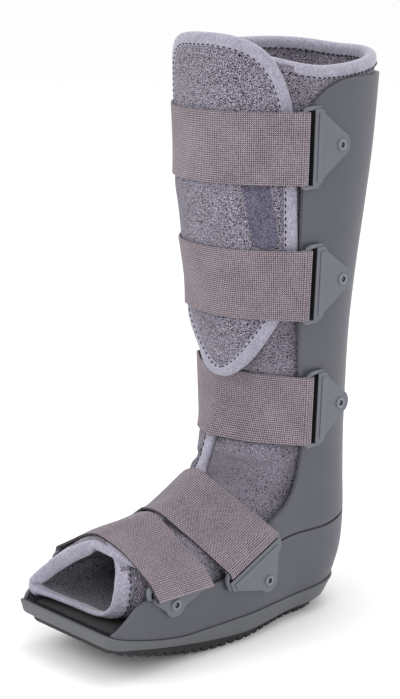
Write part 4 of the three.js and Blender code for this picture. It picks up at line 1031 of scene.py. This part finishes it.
def overlap_panel(cols=50):
    """From the free edge back to the far side, and down to the far side's own toe edge."""
    share = np.linspace(0, 1, cols)[None, :]
    start = panel_stations()[:, None]
    down = (start[0] - start) / (start[0] - start[-1])
    at = np.broadcast_to(start, (len(start), cols))
    for _ in range(3):
        edge = angle_at(at, panel_edge(at) - TAPE_WIDTH + 0.5)
        turns = lerp(edge, -1.6, share)
        at = lerp(start[0], far_toe_at(turns) + 4, down)
    lift = puff(at, turns) + PANEL_UNDER
    wall = PANEL_WALL * (1 - smoothstep(share, 0.45, 1.0) * 0.85)
    flat = np.stack([turns * CALF_WIDTH / 2, at], -1)
    return over_liner(at, turns, lift + wall), over_liner(at, turns, lift), flat


def far_edge_top(turns):
    """Height of the far side's toe edge over the liner: the panel's wall, thinner towards its corner."""
    return PANEL_UNDER + PANEL_WALL * (1 - 0.7 * smoothstep(-turns, 0.9, 1.7))


def far_toe_tape():
    """A flat tape round the far side's toe edge, from the outer corner to where it lies over the near side."""
    turns = np.linspace(-2.3, 0.95, 160)
    edge = far_toe_at(turns)[None, :]
    top = far_edge_top(turns)
    low = lerp(PANEL_UNDER - 0.6, -toe_wall(turns) - 0.9, smoothstep(-turns, -0.1, 0.4))
    bend = np.linspace(0, PI, 9)
    run = [TAPE_WIDTH, TAPE_WIDTH - 0.4, 6.0]
    depth = np.concatenate([run, 1.6 * (1 - np.sin(bend)), run[::-1]])
    share = np.concatenate([[0.1, 0, 0], 0.5 - 0.5 * np.cos(bend), [1, 1, 0.9]])[:, None]
    height = lerp(top[None, :] + 0.7, low[None, :], share)
    grid = over_liner(edge + depth[:, None], turns[None, :], height)
    return np.concatenate([grid, grid[:1]])


def overlap_tape():
    """A rounded tape along the panel's free edge."""
    at = panel_stations()[None, :]
    across = np.array([0.2, 0.6, 1.6, 3.4, 6.0, 8.0, 9.2, TAPE_WIDTH])
    rise = np.array([0.35, 0.75, 0.95, 1.03, 1.05, 1.0, 0.92, 0.7])
    arc = panel_edge(at) - across[:, None]
    turns = angle_at(np.broadcast_to(at, arc.shape), arc)
    lift = puff(at, turns) + PANEL_UNDER
    top = over_liner(at, turns, lift + PANEL_WALL * rise[:, None])
    low = over_liner(at, turns, lift - 0.2)
    return np.concatenate([top, low[::-1], top[:1]])


def padded_tape(name, grid, replaces=()):
    """A tape that is closed at its ends."""
    surface(name, closed_ends(grid), TAPE_FABRIC, replaces=replaces)


PANEL_TOP, PANEL_LOW, PANEL_FLAT = overlap_panel()
panel_faces = PANEL_TOP, PANEL_LOW
panel = slab(
    "far_panel", *panel_faces, LOOP_FABRIC, "lining", PANEL_FLAT, replaces=["overlap_panel"], bevel=(0.8, 2)
)
TAPE_GRID = overlap_tape()
FAR_TAPE_GRID = far_toe_tape()
padded_tape("far_panel_tape", TAPE_GRID, ["overlap_binding"])
padded_tape("far_toe_tape", FAR_TAPE_GRID)
FAR_TURNS = np.linspace(-1.9, 0.85, 200)
FAR_STITCH = far_toe_at(FAR_TURNS) + TAPE_WIDTH - 1.2
FAR_LINE_POINTS = over_liner(FAR_STITCH, FAR_TURNS, far_edge_top(FAR_TURNS) + 0.8)
stitches("far_toe_stitches", FAR_LINE_POINTS, liner_normal(FAR_STITCH, FAR_TURNS))
SEAM_AT = panel_stations(300)
SEAM_TURN = angle_at(SEAM_AT, panel_edge(SEAM_AT) - TAPE_WIDTH + 1.2)
SEAM_LIFT = puff(SEAM_AT, SEAM_TURN) + PANEL_UNDER + PANEL_WALL + 0.1
stitches("far_panel_stitches", over_liner(SEAM_AT, SEAM_TURN, SEAM_LIFT), liner_normal(SEAM_AT, SEAM_TURN))


# The shin flap: its outline from tip to top, as its height and its reach to the near and the far side
FLAP = table(
    "height near far",
    (0, 0.03, 0.03),
    (0.012, 0.075, 0.075),
    (0.045, 0.15, 0.15),
    (0.1, 0.235, 0.235),
    (0.17, 0.32, 0.32),
    (0.25, 0.405, 0.405),
    (0.34, 0.438, 0.438),
    (0.44, 0.455, 0.455),
    (0.56, 0.469, 0.469),
    (0.66, 0.467, 0.465),
    (0.76, 0.462, 0.44),
    (0.83, 0.44, 0.4),
    (0.89, 0.4, 0.355),
    (0.935, 0.35, 0.31),
    (0.972, 0.27, 0.25),
    (0.994, 0.16, 0.17),
    (1, 0.06, 0.08),
)


def flap_outline(count=420):
    """The flap's closed outline as (arc, height), at even steps, with its ends eased round."""
    share = 0.5 - 0.5 * np.cos(np.linspace(0, PI, 300))
    height = lerp(FLAP_BOTTOM, FLAP_TOP, share)
    near = np.stack([column(FLAP, "height", "near", share) * FLAP_WIDTH, height], -1)
    far = np.stack([-column(FLAP, "height", "far", share) * FLAP_WIDTH, height], -1)
    line = resampled(np.concatenate([near, far[::-1], near[:1]]), count + 1)[:-1]
    for _ in range(6):
        line = (np.roll(line, 1, 0) + line * 2 + np.roll(line, -1, 0)) / 4
    return line


OUTLINE = flap_outline()
ALONG = unit(np.roll(OUTLINE, -1, 0) - np.roll(OUTLINE, 1, 0))
INWARD = np.stack([-ALONG[:, 1], ALONG[:, 0]], -1)


def flap_under(at, arc):
    """Height of the flap's underside over the liner: on the panel, and down on the liner's near side."""
    drop = smoothstep(arc, 14, 50)
    lift = FLAP_LIFT * (1 - smoothstep(at, FLAP_BOTTOM + 4, FLAP_BOTTOM + 18))
    return lerp(2 * SEAT_GAP + PANEL_WALL + 0.8, 0.7, drop) + lift


def flap_puff(at, angle):
    """The flap's padding follows the liner's, pressed under its two straps, with slow dents."""
    press = pressed(at, calf=1.0, shin=1.0)
    slack = np.sin(at / 15.0 + 2 * angle) + 0.8 * np.sin(at / 8.0 - 4 * angle + 2)
    return 0.7 - 1.3 * press + 0.45 * slack * (1 - press)


def on_flap(place, rise):
    """A point over the flap's underside, from (arc, height)."""
    arc, at = place[..., 0], place[..., 1]
    turns = angle_at(at, arc)
    ease = smoothstep(np.abs(arc), 4, 18) * 0.35 + 0.65
    return over_liner(at, turns, flap_under(at, arc) + flap_puff(at, turns) * ease + rise)


def flap_body(rows=110, cols=57):
    """Rows rise from the tip to the top between the tape's inner edges; the padding crowns inwards."""
    inner = OUTLINE + INWARD * (TAPE_WIDTH - 1.0)
    low, high = inner[:, 1].min() + 0.4, inner[:, 1].max() - 0.4
    at = lerp(low, high, 0.5 - 0.5 * np.cos(np.linspace(0, PI, rows)))
    sides = []
    for side in (-1, 1):
        edge = inner[inner[:, 0] * side > 0]
        edge = edge[edge[:, 1].argsort()]
        sides.append(np.interp(at, edge[:, 1], edge[:, 0])[:, None])
    arc = lerp(*sides, np.linspace(0, 1, cols)[None, :])
    place = np.stack(np.broadcast_arrays(arc, at[:, None]), -1)
    reach = np.linalg.norm(place[:, :, None] - inner, axis=-1).min(-1)
    crown = FLAP_WALL * (0.72 + 0.33 * (1 - np.exp(-reach / 5.0)))
    return on_flap(place, crown), on_flap(place, 0.0), place


def flap_tape():
    """A tape along the flap's whole edge: rings inwards from the outline, over rounded heights."""
    across = np.array([0.1, 0.4, 1.2, 3.0, 5.5, 7.6, 8.8, TAPE_WIDTH])
    rise = np.array([0.25, 0.62, 0.88, 1.02, 1.06, 1.0, 0.9, 0.72]) * FLAP_WALL
    rings = OUTLINE[None] + INWARD[None] * across[:, None, None]
    rings = np.concatenate([rings, rings[:, :1]], 1)
    top = on_flap(rings, rise[:, None])
    low = on_flap(rings, -0.1)
    return np.concatenate([top, low[::-1], top[:1]])


FLAP_TOP_GRID, FLAP_LOW_GRID, FLAP_FLAT = flap_body()
flap = slab(
    "flap_pad", FLAP_TOP_GRID, FLAP_LOW_GRID, LOOP_FABRIC, "lining", FLAP_FLAT, replaces=["shin_flap"]
)
FLAP_TAPE_GRID = flap_tape()
surface("flap_tape", FLAP_TAPE_GRID, TAPE_FABRIC, replaces=["flap_binding"])
STITCH_RING = OUTLINE + INWARD * (TAPE_WIDTH - 1.3)
STITCH_RING = np.concatenate([STITCH_RING, STITCH_RING[:1]])
STITCH_TURN = angle_at(STITCH_RING[:, 1], STITCH_RING[:, 0])
STITCH_NORMAL = liner_normal(STITCH_RING[:, 1], STITCH_TURN)
stitches("flap_stitches", on_flap(STITCH_RING, FLAP_WALL * 0.93), STITCH_NORMAL)


def hook_tape():
    """A narrow tape with a round end, laid on the flap."""
    down = np.linspace(0, 1, 60)[:, None]
    width = HOOK_WIDTH / 2 * np.sqrt(np.clip(1 - np.clip((down - 0.92) / 0.08, 0, 1) ** 2, 0.02, 1))
    top = lerp(FLAP_BOTTOM, FLAP_TOP, 0.72)
    arc = HOOK_ARC + lerp(-3.0, 2.5, down) + np.linspace(-1, 1, 15) * width
    place = np.stack([arc, np.broadcast_to(top - down * HOOK_LENGTH, arc.shape)], -1)
    base = FLAP_WALL * 1.06
    return on_flap(place, base + 0.9), on_flap(place, base - 0.5)


HOOK_TOP, HOOK_LOW = hook_tape()
hook = slab(
    "hook_patch", HOOK_TOP, HOOK_LOW, HOOK_FABRIC, "hook_tape", replaces=["hook_strip"], bevel=(0.4, 2)
)


# The straps, loops and rivets
def in_side(y, z):
    """A direction in the side view."""
    return unit(np.array([0.0, y, z]))


class Strap:
    """A strap's place: the loop's slot on the shell's side, its direction and the strap's run in the side
    view, how far the plate reaches behind the slot, how far aside the rivet lies and how far the ring leans
    in. `ahead` is how far the plate's front edge stands ahead of that place, and `slot` how far the bar
    stands ahead of the edge."""

    def __init__(self, y, z, along=(0, 1), run=(-1, 0), reach=25.0, aside=0.0, lean=0.0, ahead=3.5, slot=8.2):
        self.y, self.z = y, z
        self.along, self.run = in_side(*along), in_side(*run)
        self.reach, self.aside, self.lean = reach, aside, lean
        self.edge = -ahead
        self.bar = ahead + slot
        self.back = np.array([0, self.along[2], -self.along[1]])


STRAPS = {
    "calf": Strap(-13.0, STRAP_SHARES["calf"] * COLLAR_HEIGHT),
    "shin": Strap(-6.0, STRAP_SHARES["shin"] * COLLAR_HEIGHT),
    "ankle": Strap(2.0, STRAP_SHARES["ankle"] * COLLAR_HEIGHT, reach=22.7, ahead=2.5),
    "instep": Strap(-61.0, SEAM_HEIGHT - 8.5, (0.903, 0.43), (-0.5, 0.866), 22.7, 6.0, ahead=1.5, slot=4.6),
    "toe": Strap(60 - TOE_REACH, TOE_WALL_HEIGHT + 0.5, (1, 0), (-0.2, 0.98), 9.0, -5.0, 0.6, 0.0, 4.6),
}
TAIL_LAYER = STRAP_WALL + 2 * SEAT_GAP + 0.15
BAR_TOP = TAIL_LAYER + LOOP_WALL
ARMS = STRAP_WIDTH / 2 + 0.9


def seat_of(y, z, along):
    """How far out of the shell a loop lies at its middle, and how it slopes along the slot."""

    def out_at(aside):
        """The farthest out that the shell stands under the plate, at a place along the slot."""
        back = np.array([-8.0, 0, 12, 28])
        place = y + along[2] * back + along[1] * aside, z - along[1] * back + along[2] * aside
        return shell_side(*place).max()

    reach = STRAP_WIDTH / 2 + 0.9 + LOOP_CHEEK
    ends = out_at(-reach), out_at(reach)
    return max(out_at(0.0), sum(ends) / 2), (ends[1] - ends[0]) / (2 * reach)


HANGING_END = -1.0  # the toe strap's end hangs down over the plate


def strap_grid(name, clouds, count=150, rows=5, fine=25):
    """A taut strap: in each plane along its run, the outline of the hull of all that lies under it, which
    is each direction's farthest point moved out by the strap's rise; then a fold round the loop's bar."""
    strap = STRAPS[name]
    along, run, lean = strap.along, strap.run, strap.lean
    reach, slope = seat_of(strap.y, strap.z, along)
    slant = abs(run @ strap.back)
    bar_front = strap.bar + LOOP_ARM
    drift = (run @ along) * (strap.bar + LOOP_ARM / 2) / slant
    across = np.array([0, run[2], -run[1]])
    half_wall = STRAP_WALL / 2
    rise = SEAT_GAP + 0.25 + half_wall
    turns = np.linspace(0, PI, 721)
    ways = np.stack([np.cos(turns), np.sin(turns)], -1)
    lines = []
    for aside in np.linspace(-0.5, 0.5, rows) * (STRAP_WIDTH - 1):
        origin = np.array([0, strap.y, strap.z]) + along * (aside - drift)
        local = clouds - origin
        near = local[np.abs(local @ across) < 3.2]
        flat = np.stack([near[:, 0], near @ run], -1)
        flat = flat[flat[:, 1] > bar_front]
        out = reach + slope * aside
        bar = lambda height, ahead: np.array([out + height - lean * max(0.0, ahead + 2), ahead / slant])
        corner = bar(BAR_TOP, bar_front)
        flat = np.concatenate([flat, [corner, corner * [-1, 1]]])
        taut = flat[(flat @ ways.T).argmax(0)] + ways * rise
        low = BAR_TOP - 0.6 if name == "toe" else TAIL_LAYER - SEAT_GAP - half_wall
        high = BAR_TOP + rise
        bend = np.linspace(0, PI, 12)
        radius = (high - low) / 2
        turn_at = HANGING_END if name == "toe" else strap.bar - 0.2
        fold = [bar(low, bar_front + 1), bar(low, turn_at + 1)]
        fold += [bar(low + radius * (1 - math.cos(b)), turn_at - 1.5 * math.sin(b)) for b in bend]
        fold = np.array(fold)
        path = np.concatenate([fold, taut, fold[::-1] * [-1, 1]])
        path = path[np.append(True, np.linalg.norm(np.diff(path, axis=0), axis=1) > 1e-6)]
        lines.append((origin, path))
    fold_count = 14
    grid = []
    for origin, path in lines:
        first = resampled(path[:fold_count], 20)
        last = resampled(path[-fold_count:], 20)
        middle = resampled(path[fold_count - 1 : -fold_count + 1], count)
        flat = np.concatenate([first, middle[1:-1], last])
        grid.append(origin + flat[:, 1:] * run + flat[:, :1] * [1, 0, 0])
    grid = np.array(grid)
    share = np.linspace(-1, 1, rows)
    fit = np.linalg.pinv(np.vander(share, 4))
    spread = np.vander(np.linspace(-1, 1, fine) * (STRAP_WIDTH / (STRAP_WIDTH - 1)), 4) @ fit
    return np.einsum("fr,rnk->fnk", spread, grid)


def grid_normal(grid):
    """The normal at each point of a grid, from its neighbours."""
    return unit(np.cross(np.gradient(grid, axis=1), np.gradient(grid, axis=0)))


def strap_piece(name, clouds):
    """The strap's two faces, either side of its middle surface; lengths along and across it are its map."""
    middle = strap_grid(name, clouds)
    normal = grid_normal(middle)
    run = run_of(middle[len(middle) // 2])
    across = np.linspace(0, STRAP_WIDTH, len(middle))
    flat = np.stack(np.broadcast_arrays(run[None, :], across[:, None]), -1)
    faces = middle + normal * STRAP_WALL / 2, middle - normal * STRAP_WALL / 2
    stands_for = [f"strap_{name}"]
    piece = slab(f"{name}_strap", *faces, WEBBING, "webbing", flat, replaces=stands_for, bevel=(0.45, 2))
    return middle.reshape(-1, 3)


def block(outline, low, high):
    """A flat block from an outline of (along, back) between two heights, closed by one face at each height."""
    outline = np.array(outline, float)
    count = len(outline)
    points = np.concatenate([np.column_stack([np.full(count, h), outline]) for h in (low, high)])
    ids = np.arange(count)
    after = np.roll(ids, -1)
    walls = [(a, b, b + count, a + count) for a, b in zip(ids, after)]
    return points, [tuple(ids[::-1]), tuple(ids + count), *walls]


def box_outline(half, start, end):
    """A rectangle from -half to half along the slot."""
    return [(-half, start), (half, start), (half, end), (-half, end)]


def swept_bar(path, wide, high, sides=12):
    """A bar of rounded section along a path of (out, along, back), closed at its ends."""
    ahead = unit(np.gradient(path, axis=0))
    up = np.broadcast_to([1.0, 0, 0], path.shape)
    aside = unit(np.cross(ahead, up))
    up = unit(np.cross(aside, ahead))
    turn = np.linspace(0, 2 * PI, sides + 1)[:-1]
    ease = lambda v: np.sign(v) * np.abs(v) ** 0.6
    section = ease(np.cos(turn))[:, None, None] * aside * wide / 2
    section = section + ease(np.sin(turn))[:, None, None] * up * high / 2
    points = (path[:, None] + section.transpose(1, 0, 2)).reshape(-1, 3)
    ids = np.arange(len(points)).reshape(len(path), sides)
    after = np.roll(ids, -1, 1)
    ring = np.stack([ids[:-1], after[:-1], after[1:], ids[1:]], -1).reshape(-1, 4)
    return points, [*map(tuple, ring), tuple(ids[0][::-1]), tuple(ids[-1])]


def loop_parts(strap):
    """A loop in its own frame of (out, along, back): a plate that narrows to a round end about the rivet, a
    ridge beside the slot, and a ring whose arms rise from the ridge's ends to the bar the strap folds round.
    The slot's floor and its back wall are given apart, to carry a near-black painted shade."""
    half = ARMS + 0.4
    turn = np.linspace(0.35, PI - 0.35, 14)
    tip = np.column_stack([strap.aside + 9 * np.cos(turn), strap.reach + 9 * np.sin(turn)])
    large = strap.reach > 12
    wide = strap.edge + (9.5 if large else 3.5)
    plate = [(-half + 2, strap.edge), (half - 2, strap.edge), (half - 2, wide), *tip, (-half + 2, wide)]
    parts = [block(plate, -1.5, LOOP_WALL)]
    if large:
        ridge = [(half, strap.edge), (half, wide - 2), (half - 2, wide)]
        ridge += [(-along, back) for along, back in ridge[::-1]]
        parts.append(block(ridge, LOOP_WALL - 1, LOOP_WALL + 1.9))
        trough = box_outline(half - 3, strap.edge + 3.4, wide - 1.6)
        parts.append(block(trough, LOOP_WALL - 1, LOOP_WALL + 2.7))
    bar = -(strap.bar + LOOP_ARM / 2)
    arm = ARMS + LOOP_CHEEK / 2
    bend = np.linspace(0, PI / 2, 7)
    radius = 4.0
    corner = np.column_stack([arm - radius + radius * np.cos(bend), bar + radius - radius * np.sin(bend)])
    start = [(arm, wide - 3), (arm, strap.edge), (arm, lerp(strap.edge, bar + radius, 0.5))]
    side = np.concatenate([start, corner, [(0.0, bar)]])
    line = np.concatenate([side, side[-2::-1] * [-1, 1]])
    rise = smoothstep(-line[:, 1], -strap.edge, -bar - 1) * (TAIL_LAYER - LOOP_WALL * 0.3)
    path = np.column_stack([rise + LOOP_WALL * 0.8, line])
    parts.append(swept_bar(path, 3.0, 3.0))
    wall_high = LOOP_WALL + (1.6 if large else 0.2)
    # The slot's floor and a thin back wall, which carry the near-black painted shade
    slot_parts = [
        block(box_outline(ARMS, -strap.bar, strap.edge + 0.5), -0.8, 0.25),
        block(box_outline(ARMS, strap.edge - 0.5, strap.edge + 0.3), -0.8, wall_high),
    ]
    return parts, slot_parts


def loop_piece(name, side):
    """A strap's loop on one side: its parts moved on to the shell in one mesh."""
    strap = STRAPS[name]
    reach, slope = seat_of(strap.y, strap.z, strap.along)
    parts, slot_parts = loop_parts(strap)
    points, faces = [], []
    for local, part_faces in parts + slot_parts:
        start = sum(map(len, points))
        out = reach + slope * local[:, 1] + local[:, 0] - strap.lean * np.maximum(0, 2 - local[:, 2])
        place = np.array([0, strap.y, strap.z]) + local[:, 1:2] * strap.along + local[:, 2:] * strap.back
        points.append(place + np.outer(out, [1, 0, 0]))
        faces += [tuple(start + k for k in face) for face in part_faces]
    tag = f"{name}_{'left' if side > 0 else 'right'}"
    mesh = bpy.data.meshes.new(f"loop_{tag}")
    mesh.from_pydata(((np.concatenate(points) * [side, 1, 1] + LEG_AXIS) * MM).tolist(), [], faces)
    turned = bmesh.new()
    turned.from_mesh(mesh)
    bmesh.ops.recalc_face_normals(turned, faces=turned.faces)
    turned.to_mesh(mesh)
    turned.free()
    loop = bpy.data.objects.new(f"loop_{tag}_body", mesh)
    dress(loop, LOOP_PLASTIC, [f"loop_{tag}"], bevel=(0.55, 3), sharp=35)
    # The slot's faces come last and get the near-black painted shade
    mesh.materials.append(PAINTED_RECESS_SHADE)
    painted_slot_shade = np.zeros(len(mesh.polygons), int)
    painted_slot_shade[-sum(len(part_faces) for _, part_faces in slot_parts) :] = 1
    mesh.polygons.foreach_set("material_index", painted_slot_shade)


def rivet_piece(cad_name, name):
    """A round head with a rolled rim about a hollow middle: a profile of radius and height, turned."""
    low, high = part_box(cad_name)
    middle = np.array((low + high) / 2) / MM - LEG_AXIS
    side = 1 if middle[0] > 0 else -1
    top = max(abs(low.x), abs(high.x)) / MM
    radius = (high.z - low.z) / 2 / MM
    rim = [(1.0, -2.0), (1.0, -0.9), (0.97, -0.4), (0.88, -0.08), (0.74, 0), (0.6, -0.1), (0.5, -0.5)]
    hole = [(0.46, -1.2), (0.44, -2.6), (0.0, -2.6)]
    share = np.array(rim + hole)
    turn = np.linspace(0, 2 * PI, 33)
    y = middle[1] + radius * share[:, :1] * np.cos(turn)
    z = middle[2] + radius * share[:, :1] * np.sin(turn)
    grid = np.stack([side * (top + share[:, 1:]) + 0 * turn, y, z], -1)
    head = surface(name, grid, RIVET_METAL, replaces=[cad_name])
    # The hollow middle's faces get the near-black painted shade
    head.data.materials.append(PAINTED_RECESS_SHADE)
    inside = np.zeros((len(share) - 1, len(turn) - 1), int)
    inside[len(rim) - 1 :] = 1
    head.data.polygons.foreach_set("material_index", inside.ravel()[: len(head.data.polygons)])


for strap_name in STRAPS:
    for side_name, side_sign in (("left", 1), ("right", -1)):
        tag = f"{strap_name}_{side_name}"
        loop_piece(strap_name, side_sign)
        rivet_piece(f"rivet_{tag}", f"rivet_{tag}_head")


def cloud_of(*grids):
    """All the points of some grids."""
    return np.concatenate([grid.reshape(-1, 3) for grid in grids])


# What the straps lie on: each goes over its own part of the boot, and the instep strap over the toe strap
UNDER_ANKLE = LINER_OUT, PANEL_TOP, TAPE_GRID, upright_grid(0)
cloud = cloud_of(*UNDER_ANKLE, FAR_TAPE_GRID, FLAP_TOP_GRID, FLAP_TAPE_GRID, HOOK_TOP, foot_grid(0))
leg_cloud = cloud[cloud[:, 2] > 120]
ankle_cloud = cloud_of(*UNDER_ANKLE)
foot_cloud = cloud[cloud[:, 2] < 170]
strap_piece("calf", leg_cloud)
strap_piece("shin", leg_cloud)
strap_piece("ankle", ankle_cloud[ankle_cloud[:, 2] > 120])
toe_points = strap_piece("toe", foot_cloud)
strap_piece("instep", np.concatenate([foot_cloud, toe_points[toe_points[:, 2] > 66]]))


# Floor, light and camera
def stage_and_light():
    """A wide pale floor that meets a pale surround, lit softly from the front and both sides."""
    floor = bpy.data.meshes.new("floor")
    wide = 12.0
    corners = [(-wide, -wide, 0), (wide, -wide, 0), (wide, wide, 0), (-wide, wide, 0)]
    floor.from_pydata(corners, [], [(0, 1, 2, 3)])
    plane = bpy.data.objects.new("floor", floor)
    bpy.context.scene.collection.objects.link(plane)
    pale = bpy.data.materials.new("pale floor")
    pale.use_nodes = True
    shader = pale.node_tree.nodes["Principled BSDF"]
    shader.inputs["Base Color"].default_value = (0.98, 0.98, 0.98, 1)
    shader.inputs["Roughness"].default_value = 0.9
    shader.inputs["Specular IOR Level"].default_value = 0.0
    floor.materials.append(pale)
    world = bpy.data.worlds.new("studio")
    bpy.context.scene.world = world
    world.use_nodes = True
    world.node_tree.nodes["Background"].inputs["Color"].default_value = (1, 1, 1, 1)
    world.node_tree.nodes["Background"].inputs["Strength"].default_value = 1.0
    lamps = [
        ("key", (-0.6, -1.7, 1.7), 1.3, 12.0),
        ("fill", (1.9, -0.9, 1.1), 1.2, 8.0),
        ("top", (0.1, 0.3, 2.2), 1.4, 10.0),
    ]
    for name, place, size, power in lamps:
        light = bpy.data.lights.new(name, "AREA")
        light.shape = "SQUARE"
        light.size = size
        light.energy = power
        lamp = bpy.data.objects.new(name, light)
        lamp.location = place
        lamp.rotation_euler = (Vector((0, 0, 0.2)) - Vector(place)).to_track_quat("-Z", "Y").to_euler()
        bpy.context.scene.collection.objects.link(lamp)


CAMERA_PLACE = (928.6, -894.9, 499.2)
CAMERA_TURN = 48.15  # degrees from straight behind the toes
CAMERA_DIP = 13.26  # degrees below level
CAMERA_LENS = 92.84


def add_camera():
    """The camera stands ahead of the toes on the +X side and looks a little down."""
    data = bpy.data.cameras.new("camera")
    data.lens = CAMERA_LENS
    data.sensor_width = 36
    data.sensor_fit = "AUTO"
    camera = bpy.data.objects.new("camera", data)
    camera.location = ((np.array(CAMERA_PLACE) + LEG_AXIS) * MM).tolist()
    camera.rotation_euler = (math.radians(90 - CAMERA_DIP), 0, math.radians(CAMERA_TURN))
    bpy.context.scene.collection.objects.link(camera)
    bpy.context.scene.camera = camera


stage_and_light()
add_camera()
bpy.context.scene.view_settings.view_transform = "Standard"
